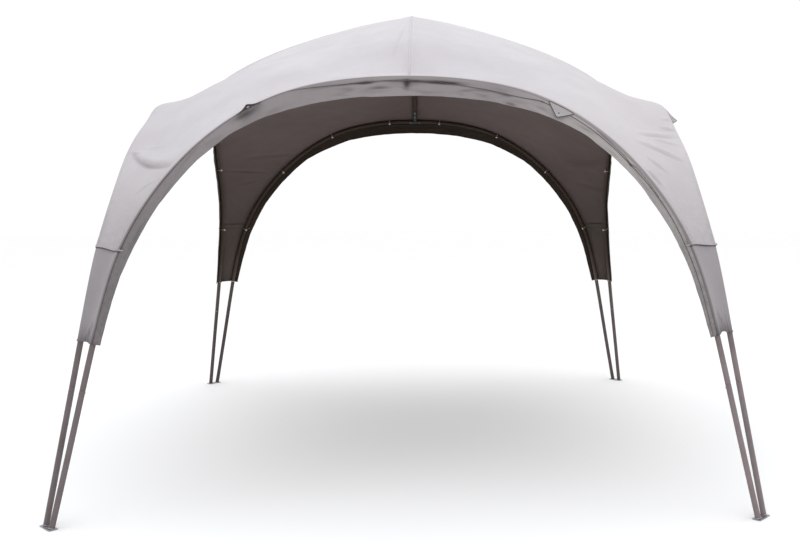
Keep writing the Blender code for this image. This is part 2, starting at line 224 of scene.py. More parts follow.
@dataclass
class FrameLines:
    """Centre lines of the bent tubes, from the same driving sizes as the solids."""

    tube_radius: float = 0.0143
    rib_steps: int = 1601
    leg_foot: tuple = (1.728, 1.772, 0)
    leg_top: tuple = (1.533, 1.632, 0.95)
    snap_height: float = 0.66
    sleeve_foot: float = 0.89
    hem_height: float = 1.34
    arch_bend: tuple = (
        (1.404, 1.574, 1.375), (1.258, 1.54, 1.622), (1.072, 1.52, 1.832), (0.86, 1.486, 1.998),
        (0.624, 1.43, 2.118), (0.373, 1.382, 2.181), (0, 1.36, 2.208),
    )
    rib_bend: tuple = (
        (0, 2.757), (0.2, 2.727), (0.4, 2.681), (0.8, 2.559), (1.1, 2.427), (1.26, 2.318), (1.36, 2.208),
    )
    # How far the cloth swells out between two tubes, by |x| + |y| half way
    panel_swell: tuple = (
        (0, 0), (0.3, 0.005), (0.6, 0.017), (0.9, 0.037), (1.1, 0.055), (1.2, 0.08), (1.28, 0.125),
        (1.36, 0.19), (1.46, 0.17), (1.6, 0.135), (1.75, 0.105), (1.9, 0.07), (2.05, 0.038), (2.35, 0.008),
        (2.6, 0), (3.3, 0),
    )

    def __post_init__(self) -> None:
        """Work out the arch, left foot to right foot, and the rib, middle to arch."""
        foot, top = np.array(self.leg_foot), np.array(self.leg_top)
        half = [foot, 0.5 * (foot + top), top, *np.array(self.arch_bend)]
        self.arch = Spline([(-x, -y, z) for x, y, z in half] + [(x, -y, z) for x, y, z in half[-2::-1]])
        self.rib = Spline([(0, -reach, height) for reach, height in self.rib_bend])
        self.middle = self.arch.knots[-1] / 2
        self.samples = np.linspace(0, self.middle, FINE_STEPS)
        self.sample_points = self.arch.at(self.samples)
        self.rib_samples = np.linspace(0, self.rib.knots[-1], self.rib_steps)
        self.rib_reaches = -self.rib.at(self.rib_samples)[:, 1]
        self.hem = self.at_height(self.hem_height)
        self.sleeve_end = self.at_height(self.sleeve_foot)

    def at_height(self, height: float) -> float:
        """Return the chord length on the left half of the arch at a height."""
        return float(np.interp(height, self.sample_points[:, 2], self.samples))

    def at_half_width(self, width: float) -> float:
        """Return the chord length on the left half of the arch at a half width."""
        return float(np.interp(-width, self.sample_points[:, 0], self.samples))

    def on_rib(self, reaches: Array) -> Array:
        """Return chord lengths on the rib at distances from the middle of the gazebo."""
        return np.interp(reaches, self.rib_reaches, self.rib_samples)

    def other_half(self, lengths: Array) -> Array:
        """Return the chord lengths at the same heights on the arch's other half."""
        return 2 * self.middle - lengths

    def arch_sections(self, lengths: Array) -> TubeSections:
        """Return sections of the front arch; seamward looks outdoors.

        Args:
            lengths: chord lengths along the arch, or one of them.

        Returns:
            Sections with away square to the tube and to the inward direction.
        """
        lengths = np.atleast_1d(lengths)
        along = self.arch.tangent(lengths)
        away = unit(np.cross(along, INWARD))
        return TubeSections(self.arch.at(lengths), along, away, unit(np.cross(along, away)))

    def rib_sections(self, reaches: Array) -> TubeSections:
        """Return sections of the front rib; seamward looks to the right, past the seam.

        Args:
            reaches: distances from the middle of the gazebo.

        Returns:
            Sections with away square to the rib, upwards.
        """
        lengths = self.on_rib(reaches)
        along = self.rib.tangent(lengths)
        away = unit(np.cross(LEFTWARD, along))
        return TubeSections(self.rib.at(lengths), along, away, np.broadcast_to(-LEFTWARD, away.shape))


# Meshes


@dataclass(frozen=True)
class Skin:
    """A surface before it is a mesh: quads, and metres across and along at each vertex.

    picks is the number of the finish of each quad, or of all.
    """

    vertices: Array
    quads: Array
    metres: Array
    picks: Array | int = 0

    def turned(self, turns: int) -> "Skin":
        """Return the skin after quarter turns about the middle."""
        return replace(self, vertices=quarter_turn(self.vertices, turns))

    def mirrored(self) -> "Skin":
        """Return the skin on its corner's other side, with its faces still outward."""
        return replace(self, vertices=swap_sides(self.vertices), quads=self.quads[:, ::-1])

    def laid(self, centre: Array, axis: Array) -> "Skin":
        """Return the skin with its +Z laid along an axis and its origin at a point."""
        side = unit(np.cross(UPWARD if abs(axis[2]) < 0.9 else INWARD, axis))
        return replace(self, vertices=self.vertices @ np.stack([side, np.cross(axis, side), axis]) + centre)


def join_skins(skins: list, picks: tuple | None = None) -> Skin:
    """Return several skins as one, each with the number of its finish, or all with the first."""
    starts = np.cumsum([0] + [len(skin.vertices) for skin in skins[:-1]])
    return Skin(np.concatenate([skin.vertices for skin in skins]),
        np.concatenate([skin.quads + start for skin, start in zip(skins, starts)]),
        np.concatenate([skin.metres for skin in skins]),
        np.repeat(picks or [0] * len(skins), [len(skin.quads) for skin in skins]))


def grid_normals(points: Array) -> Array:
    """Return unit normals of a grid: across the rows crossed with along them, down at a pole."""
    normals = np.cross(np.gradient(points, axis=0), np.gradient(points, axis=1))
    return unit(np.where(np.linalg.norm(normals, axis=-1, keepdims=True) < TINY, -UPWARD, normals))


def quad_faces(rows: int, columns: int, wrap: bool = False) -> Array:
    """Return the quads of a grid of vertices that is stored row by row.

    Args:
        rows: rows of vertices.
        columns: vertices in a row.
        wrap: whether the last column joins the first.

    Returns:
        An array of four vertex indices for each quad.
    """
    index = np.arange(rows * columns).reshape(rows, columns)
    if wrap:
        index = np.concatenate([index, index[:, :1]], axis=1)
    corners = (index[:-1, :-1], index[1:, :-1], index[1:, 1:], index[:-1, 1:])
    return np.stack([corner.ravel() for corner in corners], axis=1)


@dataclass
class Sheet:
    """A piece of cloth as a grid of points, with a thickness that can vary.

    flip turns its outer side round, and wrap says that its last column is its first.
    """

    points: Array
    thickness: Array | float
    flip: bool = False
    wrap: bool = False

    def shell(self) -> Skin:
        """Return the closed skin: two sides half the thickness off the grid, and a band round the edge.

        Returns:
            The skin, whose inner side picks the second finish.
        """
        rows, columns = self.points.shape[:2]
        count = rows * columns
        normals = grid_normals(self.points)
        if self.wrap:
            turned = np.concatenate([self.points[:, -2:-1], self.points, self.points[:, 1:2]], axis=1)
            normals = grid_normals(turned)[:, 1:-1]
        half = np.broadcast_to(self.thickness, (rows, columns))[..., None] * (-0.5 if self.flip else 0.5)
        vertices = np.concatenate([(self.points + way * normals * half).reshape(-1, 3)
            for way in (1, -1)])
        outer = quad_faces(rows, columns)
        index = np.arange(count).reshape(rows, columns)
        round_edge = (index[:-1, 0], index[-1, :-1], index[:0:-1, -1], index[0, :0:-1], index[:1, 0])
        edges = [index[-1], index[0, ::-1]] if self.wrap else [np.concatenate(round_edge)]
        band = np.concatenate([np.stack([edge[1:], edge[:-1], edge[:-1] + count, edge[1:] + count], axis=1)
            for edge in edges])
        quads = np.concatenate([outer, outer[:, ::-1] + count, band])
        metres = np.stack([running_length(self.points, 1), running_length(self.points, 0)], axis=-1)
        return Skin(vertices, quads[:, ::-1] if self.flip else quads, np.tile(metres.reshape(-1, 2), (2, 1)),
            np.repeat([0, 1, 0], [len(outer), len(outer), len(band)]))


def round_angles(sides: int) -> Array:
    """Return the angles of evenly spaced points round a circle."""
    return np.linspace(0, FULL_TURN, sides, endpoint=False)


def rings(side: Array, over: Array, sides: int) -> Array:
    """Return side * cos + over * sin for each row, at evenly spaced angles."""
    angle = round_angles(sides)[None, :, None]
    return side[:, None] * np.cos(angle) + over[:, None] * np.sin(angle)


def ring_skin(points: Array, girth: Array, lengths: Array, clockwise: bool = False) -> Skin:
    """Return the skin of rings of points, with metres round each ring and along at each ring."""
    metres = np.stack(np.broadcast_arrays(girth, lengths), axis=-1).reshape(-1, 2)
    return Skin(points.reshape(-1, 3), quad_faces(*points.shape[:2], True)[:, ::-1 if clockwise else 1], metres)


def tube_skin(centres: Array, radii: Array, sides: int, up: Array = UPWARD) -> Skin:
    """Return a closed round tube along a line: rings of centre + radius * (side * cos + over * sin).

    Args:
        centres: points along the line.
        radii: the tube's radius at each point; 0 at an end closes it.
        sides: vertices round a ring.
        up: a direction that the line never follows.

    Returns:
        The skin.
    """
    along = unit(np.gradient(centres, axis=0))
    side = unit(np.cross(along, up))
    points = centres[:, None] + rings(side, np.cross(side, along), sides) * radii[:, None, None]
    return ring_skin(points, round_angles(sides) * np.max(radii), running_length(centres[:, None], 0), True)


def loop_skin(centres: Array, outward: Array, width: float, height: float, sides: int = 8) -> Skin:
    """Return a closed ring of cord: sections of centre + side * width/2 * cos + outward * height/2 * sin.

    Args:
        centres: points round the ring, the first not repeated.
        outward: the direction of the section's height at each point.
        width: the section's size across.
        height: its size outward.
        sides: vertices round a section.

    Returns:
        The skin.
    """
    along = unit(np.roll(centres, -1, axis=0) - np.roll(centres, 1, axis=0))
    side = unit(np.cross(along, outward))
    points = centres[:, None] + rings(0.5 * width * side, 0.5 * height * np.cross(side, along), sides)
    points = np.concatenate([points, points[:1]])
    return ring_skin(points, round_angles(sides) * width / 2, running_length(points, 0), True)


def hoop_skin(sections: TubeSections, angle: Array, radius: Array | float,
        thick: Array | float, drift: Array | float = 0, sides: int = 8) -> Skin:
    """Return a cord that goes part of the way round a tube, with its ends closed.

    Args:
        sections: the one section of the tube that it starts at.
        angle: the angles that it passes.
        radius: its distance from the tube's centre line, at all angles or at each.
        thick: its own radius, the same way.
        drift: how far it runs along the tube, the same way.
        sides: vertices round its section.

    Returns:
        The skin.
    """
    drift, thick = np.broadcast_to(drift, angle.shape)[:, None], np.broadcast_to(thick, angle.shape).copy()
    thick[[0, -1]] = 0
    return tube_skin(sections.rim(angle[None], radius)[0] + sections.along * drift, thick, sides,
        sections.along[0])


def spun_skin(profile: Array, sides: int) -> Skin:
    """Return a profile turned about the upright axis.

    Args:
        profile: rows of (radius, height) from the bottom of the outside to the top.
        sides: vertices round a ring.

    Returns:
        The skin.
    """
    radii, heights = np.asarray(profile, dtype=float).T[..., None]
    angle = round_angles(sides)
    points = np.stack(np.broadcast_arrays(radii * np.cos(angle), radii * np.sin(angle), heights), axis=-1)
    return ring_skin(points, angle * radii.max(), running_length(points[:, :1], 0))


def read_line(rows: Array, run: Array, at: Array) -> Array:
    """Return rows of x, y, z read between their places run at the places at."""
    return np.stack([np.interp(at, run, rows[:, axis]) for axis in range(3)], axis=1)


def stitch_skin(line: Array, outward: Array, pitch: float) -> Skin:
    """Return a row of stitches lying on a line, as small spindles with four sides.

    Args:
        line: points along the seam, on the cloth's face.
        outward: the cloth's outward direction at each point.
        pitch: metres from stitch to stitch.

    Returns:
        The skin of the whole row.
    """
    run = running_length(line[:, None], 0)[:, 0]
    places = np.arange(0.5 * pitch, run[-1], pitch)
    before, middle, after = (read_line(line, run, places + way * STITCH_LENGTH) for way in (-0.5, 0, 0.5))
    along = unit(after - before)
    side = unit(np.cross(read_line(outward, run, places), along))
    stops = STITCH_LENGTH * np.array((-0.5, -0.34, 0.34, 0.5))
    radii = 0.5 * STITCH_WIDTH * np.array((0, 1, 1, 0))
    sides = 4
    circles = rings(side, np.cross(along, side), sides)[:, None] * radii[:, None, None]
    points = middle[:, None, None] + along[:, None, None] * stops[:, None, None] + circles
    one = quad_faces(len(stops), sides, wrap=True)[:, ::-1]
    quads = one + len(stops) * sides * np.arange(len(places))[:, None, None]
    return Skin(points.reshape(-1, 3), quads.reshape(-1, 4), np.zeros((points.size // 3, 2)))


@dataclass(frozen=True)
class Hem:
    """A hem turned along a cloth's last row, or its last column, and sewn down."""

    cloth: float
    folded: float
    depth: float
    ramp: float
    stitch_inset: float
    axis: int = 0
    pitch: float = 0.006

    def left(self, points: Array) -> Array:
        """Return each point's distance from the hem's edge."""
        run = running_length(points, self.axis)
        return np.take(run, [-1], axis=self.axis) - run

    def thickness(self, points: Array) -> Array:
        """Return the thickness at each point: the cloth's, rising to the folded hem's."""
        fold = 1 - smooth_step(self.left(points), self.depth, self.depth + self.ramp)
        return self.cloth + (self.folded - self.cloth) * fold

    def stitches(self, points: Array, thickness: Array) -> Skin:
        """Return the row of stitches beside the edge, on the outer face.

        Args:
            points: the sheet's grid, with its outer face against the grid's normals.
            thickness: the thickness at each point.

        Returns:
            The row's skin.
        """
        outward = -grid_normals(points)
        face = np.moveaxis(points + outward * 0.5 * thickness[..., None], self.axis, 0)
        outward = np.moveaxis(outward, self.axis, 0)
        run = running_length(face, 0)
        left = run[-1:] - run
        before = np.clip((left > self.stitch_inset).sum(axis=0) - 1, 0, len(face) - 2)
        line = np.arange(face.shape[1])
        share = (left[before, line] - self.stitch_inset) / (left[before, line] - left[before + 1, line])
        share = np.clip(share, 0, 1)[:, None]
        row = face[before, line] * (1 - share) + face[before + 1, line] * share
        return stitch_skin(row, outward[before, line], self.pitch)


def weld_points(mesh: bpy.types.Mesh) -> None:
    """Merge vertices that share a place, as at a pole or an end cap.

    Args:
        mesh: the mesh to change.
    """
    shape = bmesh.new()
    shape.from_mesh(mesh)
    bmesh.ops.remove_doubles(shape, verts=shape.verts, dist=WELD)
    bmesh.ops.dissolve_degenerate(shape, edges=shape.edges, dist=WELD / 10)
    shape.to_mesh(mesh)
    shape.free()


def make_piece(name: str, skin: Skin, finishes: list, node: str | None = None,
        sharp: float | None = None, marks: dict | None = None) -> bpy.types.Object:
    """Make a mesh object at the origin from a skin, riding on the frame.

    Args:
        name: the piece's name.
        skin: its surface; the metres are kept as the UV map.
        finishes: materials, in the order that the skin picks them.
        node: the solid that it replaces, if it replaces one.
        sharp: edges bent more than this angle, in degrees, are drawn sharp.
        marks: for a sheet's skin, named values at each grid point, which its cloth reads as painted shade.

    Returns:
        The object.
    """
    corners = skin.quads.astype(np.int32).ravel()
    mesh = bpy.data.meshes.new(name)
    mesh.vertices.add(len(skin.vertices))
    mesh.vertices.foreach_set("co", skin.vertices.astype(np.float32).ravel())
    mesh.loops.add(len(corners))
    mesh.loops.foreach_set("vertex_index", corners)
    mesh.polygons.add(len(skin.quads))
    mesh.polygons.foreach_set("loop_start", np.arange(0, len(corners), 4, dtype=np.int32))
    picks = np.broadcast_to(skin.picks, len(skin.quads)).astype(np.int32)
    mesh.polygons.foreach_set("material_index", picks)
    mesh.uv_layers.new(name="metres").uv.foreach_set("vector",
        skin.metres[corners].astype(np.float32).ravel())
    for mark, values in (marks or {}).items():
        layer = mesh.attributes.new(mark, "FLOAT", "POINT")
        layer.data.foreach_set("value", np.tile(values.ravel(), 2).astype(np.float32))
    for finish in finishes:
        mesh.materials.append(finish)
    mesh.update(calc_edges=True)
    weld_points(mesh)
    mesh.validate()
    mesh.shade_smooth()
    if sharp is not None:
        mesh.set_sharp_from_angle(angle=math.radians(sharp))
    piece = bpy.data.objects.new(name, mesh)
    bpy.context.scene.collection.objects.link(piece)
    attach(piece, "root")
    if node:
        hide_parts(node)
    return piece


# Folds in cloth


class FoldForm(Enum):
    """How a fold looks across its length."""

    RIDGE = "a soft round ridge"
    CREASE = "a ridge with a valley below it"
    SWAG = "a full pouch that hangs over a sharp valley"

    def across(self, b: Array) -> Array:
        """Return the fold's height, 1 at its top, at places b across it in widths.

        It is the bell exp(-b^2), with a valley below it as a second bell where the form
        has one, and b * exp(1 - b) above the valley for a pouch.

        Args:
            b: places across the fold, upwards.

        Returns:
            Heights.
        """
        if self is FoldForm.RIDGE:
            return np.exp(-b ** 2)
        if self is FoldForm.CREASE:
            return np.exp(-(b - 0.6) ** 2) - 0.6 * np.exp(-((b + 0.75) / 0.8) ** 2)
        pouch = np.where(b > 0, b * np.exp(1 - np.abs(b)), 0)
        return pouch - 0.55 * np.exp(-((b + 0.45) / 0.6) ** 2)


@dataclass(frozen=True)
class Fold:
    """One fold: it runs from start to end and bows sideways by sag.

    Points are in the row frame. The fold's height stands outward from the room, and
    the side above it is the side that its bow and its pouch go to.
    """

    start: tuple
    end: tuple
    width: float
    height: float
    form: FoldForm = FoldForm.CREASE
    sag: float = 0.0
    reach: float = 0.3

    def lift(self, points: Array) -> Array:
        """Return how far the fold lifts the cloth: sin^0.7 along it, and its form across it.

        Args:
            points: points of the cloth.

        Returns:
            Heights in metres.
        """
        start, end = np.array(self.start), np.array(self.end)
        run = end - start
        along = unit(run)
        out = unit(0.5 * (start + end) - ROOM_MIDDLE)
        out = unit(out - along * (out @ along))
        up = np.cross(out, along)
        up = up if up[2] >= 0 else -up
        offset = points - start
        a = np.clip((offset @ along) / np.linalg.norm(run), 0, 1)
        b = (offset @ up - 4 * a * (1 - a) * self.sag) / self.width
        near = 1 - smooth_step(np.abs(offset @ out), 0.6 * self.reach, self.reach)
        return self.height * np.sin(math.pi * a) ** 0.7 * near * self.form.across(b)


@dataclass(frozen=True)
class Relief:
    """Folds, fullness and faint creasing of the whole canopy, in the row frame.

    The folds on the front corners and inside the rear corners are the photograph's;
    the others are of the same kinds, laid where those corners pull as well.
    """

    folds: tuple = (
        # Front left: the slack pouch at the shoulder and pulls towards the hem
        Fold((-1.5, -1.13, 1.85), (-1.16, -1.545, 1.766), 0.022, 0.0145, FoldForm.SWAG, -0.044),
        Fold((-1.515, -1.1, 1.84), (-1.395, -1.245, 1.818), 0.008, 0.003),
        Fold((-1.41, -1.19, 1.85), (-1.27, -1.322, 1.861), 0.008, 0.0022, FoldForm.RIDGE),
        Fold((-1.39, -1.448, 1.61), (-1.26, -1.51, 1.683), 0.009, 0.0032, sag=0.004),
        Fold((-1.39, -1.55, 1.475), (-1.313, -1.56, 1.562), 0.008, 0.0032),
        Fold((-1.372, -1.57, 1.465), (-1.322, -1.562, 1.54), 0.007, 0.0028),
        Fold((-1.29, -1.53, 1.64), (-1.2, -1.535, 1.74), 0.009, 0.0025, FoldForm.RIDGE, 0.004),
        Fold((-1.612, -1.553, 0.88), (-1.552, -1.613, 1.01), 0.012, 0.006),
        # Front right: a fan of pulls from under the side arch's tab
        Fold((1.385, -1.035, 1.984), (1.52, -0.92, 1.963), 0.0108, 0.007),
        Fold((1.505, -0.98, 1.937), (1.18, -1.31, 1.937), 0.0132, 0.007, sag=-0.006),
        Fold((1.515, -1.05, 1.88), (1.3, -1.23, 1.91), 0.012, 0.0046),
        Fold((1.5, -1.17, 1.79), (1.17, -1.39, 1.886), 0.0144, 0.0079, sag=0.01),
        Fold((1.22, -1.432, 1.81), (1.35, -1.39, 1.725), 0.0108, 0.0063),
        Fold((1.185, -1.528, 1.75), (1.285, -1.504, 1.668), 0.0096, 0.0059),
        Fold((1.203, -1.525, 1.733), (1.31, -1.506, 1.638), 0.0096, 0.0059),
        Fold((1.415, -0.93, 2.026), (1.505, -0.848, 2.015), 0.0108, 0.0046),
        Fold((1.565, -1.6, 1.02), (1.6, -1.565, 0.93), 0.012, 0.005),
        # From the crown
        Fold((-0.005, -0.64, 2.622), (-0.33, -0.88, 2.465), 0.03, 0.0055, FoldForm.RIDGE),
        Fold((-0.03, -0.7, 2.6), (-0.11, -1.27, 2.32), 0.014, 0.0035),
        Fold((0.045, -0.6, 2.634), (0.44, -0.7, 2.51), 0.028, 0.0045, FoldForm.RIDGE),
        # Inside the rear corners
        Fold((-1.545, 1.11, 1.804), (-1.19, 1.47, 1.797), 0.012, 0.0046),
        Fold((-1.45, 1.3, 1.7), (-1.255, 1.465, 1.748), 0.014, 0.003, sag=-0.008),
        Fold((1.555, 1.235, 1.65), (1.3, 1.43, 1.735), 0.022, 0.004, sag=-0.014),
        Fold((1.49, 1.01, 1.89), (1.22, 1.34, 1.88), 0.05, 0.007, FoldForm.SWAG, -0.03),
        # Left and rear slopes
        Fold((-1.31, 1.165, 1.87), (-0.93, 1.515, 1.936), 0.02, 0.004, sag=0.012),
        Fold((0.7, 0.02, 2.595), (0.816, 0.42, 2.47), 0.034, 0.005, FoldForm.RIDGE),
        Fold((-0.9, 0.12, 2.51), (-0.936, 0.5, 2.4), 0.03, 0.004, FoldForm.RIDGE),
        Fold((-0.12, 0.9, 2.51), (-0.52, 0.93, 2.4), 0.032, 0.004, FoldForm.RIDGE),
    )
    # Where the cloth stands fuller or sinks between its tubes: centre, radius, height
    slack: tuple = (
        ((-1.255, -0.6, 2.225), 0.115, -0.026),
        ((-1.18, -0.56, 2.265), 0.1, -0.01),
        ((1.27, -0.9, 2.12), 0.2, 0.006),
        ((-1.36, -1, 2.045), 0.09, -0.012),
    )
    # Where the cloth stands off its tubes, with all that is sewn to it: centre, radius, push
    billows: tuple = (
        ((1.465, -0.74, 2.085), 0.165, (0.014, 0, 0.047)),
        ((-1.45, -0.73, 2.095), 0.105, (-0.01, 0, 0.027)),
        # The hems sit lower on the front left leg and higher on the front right leg
        ((-1.42, -1.56, 1.34), 0.11, (-0.006, -0.002, -0.013)),
        ((1.42, -1.56, 1.34), 0.11, (-0.006, 0.002, 0.013)),
        ((-1.59, -1.59, 0.89), 0.14, (-0.0029, -0.0021, -0.014)),
        ((1.59, -1.59, 0.89), 0.14, (-0.0037, 0.0026, 0.018)),
    )
    # Waves of faint creasing: longest, shortest and how many
    crumple_waves: tuple = (0.42, 0.09, 14)
    crumple_height: float = 0.0018
    crumple_seed: int = 7
    # Cloth nearer to a tube than this is held by it
    grip: float = 0.034
    # A valley this deep gets the darkest painted shade of a crease
    deep: float = 0.01
    pucker: float = 0.0009
    pucker_pitch: float = 0.031
    pucker_reach: float = 0.035

    def lift(self, points: Array, near: Array) -> tuple:
        """Return how far each point lifts, and how deep it lies in a crease.

        Beside the seams the cloth also puckers: sin along the seam, fading with the
        distance from it as exp(-(distance / reach)^2).

        Args:
            points: the grid, in its place.
            near: each point's distance from the tubes; the lift fades to 0 there.

        Returns:
            Heights in metres, and crease depths from 0 to 1, which the cloth paints as shade.
        """
        free = smooth_step(near, 0.002, self.grip)
        fold = sum(one.lift(points) for one in self.folds)
        phase = FULL_TURN * running_length(points, 0) / self.pucker_pitch
        seam = np.sin(phase + 1.7 * np.sin(0.23 * phase)) * np.exp(-(near / self.pucker_reach) ** 2)
        slack = sum((height * bell(points, *place) for *place, height in self.slack), fold)
        lift = free * (slack + self.crumple(points)) + self.pucker * seam * smooth_step(near, 0, 0.012)
        # The crease depth is painted on the cloth as shade
        return lift, np.clip(-fold * free / self.deep, 0, 1)

    def crumple(self, points: Array) -> Array:
        """Return a sum of sines in seeded directions; the shorter the wave, the lower it is.

        Args:
            points: points of the cloth.

        Returns:
            Heights in metres, mostly within the crumple's height.
        """
        draw = np.random.default_rng(self.crumple_seed)
        lengths = np.geomspace(*self.crumple_waves)
        directions = unit(draw.normal(size=(len(lengths), 3)))
        starts = draw.uniform(0, FULL_TURN, len(lengths))
        total = np.zeros(points.shape[:-1])
        for length, direction, start in zip(lengths, directions, starts):
            phase = FULL_TURN / length * (points @ direction) + start
            total += length / lengths[0] * np.sin(phase + 0.6 * np.sin(0.43 * phase + start))
        return self.crumple_height * total / 2

    def stand_off(self, points: Array) -> Array:
        """Return the points with the billows' pushes added, each as push * bell."""
        return sum((bell(points, *place)[..., None] * np.array(push) for *place, push in self.billows),
            points)

    def settle(self, points: Array, lift: Array) -> Array:
        """Return the grid moved outward along its own normals by the lift, and with the billows."""
        return self.stand_off(points - grid_normals(points) * lift[..., None])


# Finishes

# The output that a node passes on, where it isn't the first
MAIN_OUTPUT = {"ShaderNodeMix": 2, "ShaderNodeAttribute": 2, "ShaderNodeTexWave": 1}


def linear(colour: str) -> tuple:
    """Turn an sRGB hex colour such as #A5A0A3 into linear red, green, blue and one."""
    parts = [int(colour[i:i + 2], 16) / 255 for i in (1, 3, 5)]
    return tuple(p / 12.92 if p <= 0.04045 else ((p + 0.055) / 1.055) ** 2.4 for p in parts) + (1,)


def feed(node: bpy.types.Node, inputs: dict) -> None:
    """Set a node's input sockets, each to a value, a hex colour, or another node's output.

    Args:
        node: the node.
        inputs: by socket name or number; a node stands for its main output.
    """
    for name, value in inputs.items():
        if isinstance(value, bpy.types.Node):
            value = value.outputs[MAIN_OUTPUT.get(value.bl_idname, 0)]
        if isinstance(value, bpy.types.NodeSocket):
            node.id_data.links.new(value, node.inputs[name])
        else:
            node.inputs[name].default_value = linear(value) if isinstance(value, str) else value


def add_node(tree: bpy.types.NodeTree, kind: str, inputs: dict | None = None, stops: tuple = (),
        **settings: object) -> bpy.types.Node:
    """Add one node with its settings and links.

    Args:
        tree: the material's node tree.
        kind: the node's class name after ShaderNode, such as TexNoise.
        inputs: what its input sockets get, as feed takes it.
        stops: for a colour ramp, its two stops, each a place and a hex colour.
        settings: values for the node's own properties.

    Returns:
        The new node.
    """
    node = tree.nodes.new(f"ShaderNode{kind}")
    for name, value in settings.items():
        setattr(node, name, value)
    for i, (place, colour) in enumerate(stops):
        element = node.color_ramp.elements[i]
        element.position, element.color = place, linear(colour)
    feed(node, inputs or {})
    return node


def start_material(name: str) -> tuple:
    """Start a material.

    Args:
        name: its name.

    Returns:
        The material, the function that adds a node to it, and its shader.
    """
    material = bpy.data.materials.new(name)
    material.use_nodes = True
    return material, partial(add_node, material.node_tree), material.node_tree.nodes["Principled BSDF"]


@dataclass(frozen=True)
class WovenCloth:
    """Plain woven polyester with a coating on the back.

    The eye gets a flat matt face with a faint grid of threads, a slow change of tone
    where the cloth has weathered, a darker tone towards the ground that is dust and
    painted shade, painted shade along creases and where it turns down to its seam, and
    painted light that makes the side at +X paler.
    """

    name: str
    tone: str
    worn: str
    # Towards the ground the cloth takes this tone: dust, and painted shade
    dust_and_shade: str
    # The real thread spacing is about 0.4 mm; it is drawn at 3 mm to show at all
    thread: float = 0.003
    # Between these heights the tone of dust and painted shade comes in, up to this share
    dust_and_shade_from: float = 1.9
    dust_and_shade_to: float = 0.9
    dust_and_shade_share: float = 0.25
    # Painted shade in creases, dents, pleats, under hems and at the foot takes this tone
    painted_shade_tone: str = "#D8D3D4"
    # Painted shade where the cloth turns down round a tube takes this tone
    under: str = "#BDB8B7"
    # Painted light: the side at +X is painted paler
    painted_light_tone: str = "#BDB8B7"
    painted_light_share: float = 0.0

    def material(self) -> bpy.types.Material:
        """Return the cloth as a node material on the piece's own metres.

        Returns:
            The material.
        """
        material, add, shader = start_material(self.name)
        metres = add("UVMap", uv_map="metres")
        place = add("TexCoord").outputs["Object"]
        split = add("SeparateXYZ", {0: place})
        weather = add("TexNoise", {"Vector": place, "Scale": 2.2, "Detail": 5, "Roughness": 0.62})
        tone = add("ValToRGB", {"Fac": weather}, ((0.34, self.worn), (0.62, self.tone)))
        # Painted light: paler towards +X
        sun = add("MapRange", {"Value": split.outputs["X"], "From Min": 0.3, "From Max": 1.25,
            "To Max": self.painted_light_share}, interpolation_type="SMOOTHSTEP")
        pale = add("Mix", {0: sun, 6: tone, 7: self.painted_light_tone}, data_type="RGBA")
        # Darker towards the ground: dust, and painted shade
        low = add("MapRange", {"Value": split.outputs["Z"], "From Min": self.dust_and_shade_from,
            "From Max": self.dust_and_shade_to, "To Max": self.dust_and_shade_share})
        specks = add("TexNoise", {"Vector": place, "Scale": 38, "Detail": 6, "Roughness": 0.7})
        speck_share = add("MapRange", {"Value": specks, "From Min": 0.35, "From Max": 0.75, "To Min": 0.68,
            "To Max": 1.1})
        dust_and_shade_amount = add("Math", {0: low, 1: speck_share}, operation="MULTIPLY", use_clamp=True)
        with_dust_and_shade = add("Mix", {0: dust_and_shade_amount, 6: pale, 7: self.dust_and_shade}, data_type="RGBA")
        # Painted shade along creases, in dents and pleats, under hems and at the foot
        painted_shade = add("Attribute", attribute_name="painted_shade")
        with_painted_shade = add("Mix", {0: painted_shade, 6: with_dust_and_shade, 7: self.painted_shade_tone}, data_type="RGBA", blend_type="MULTIPLY")
        # Painted shade where the cloth turns down round a tube
        turned = add("Attribute", attribute_name="turned")
        under = add("Mix", {0: turned, 6: with_painted_shade, 7: self.under}, data_type="RGBA", blend_type="MULTIPLY")
        bands = FULL_TURN / (20 * self.thread)
        warp, weft = (add("TexWave", {"Vector": metres, "Scale": bands, "Distortion": 0.35, "Detail": 1,
            "Detail Scale": 6}, wave_type="BANDS", bands_direction=way) for way in "XY")
        cross = add("Math", {0: warp, 1: weft}, operation="MAXIMUM")
        bump = add("Bump", {"Height": cross, "Strength": 0.22, "Distance": 0.0006})
        slub = add("Bump", {"Height": specks, "Normal": bump, "Strength": 0.12, "Distance": 0.002})
        feed(shader, {"Base Color": under, "Normal": slub, "Roughness": 0.82, "Sheen Weight": 0.12,
            "Sheen Roughness": 0.5, "Specular IOR Level": 0.28})
        return material


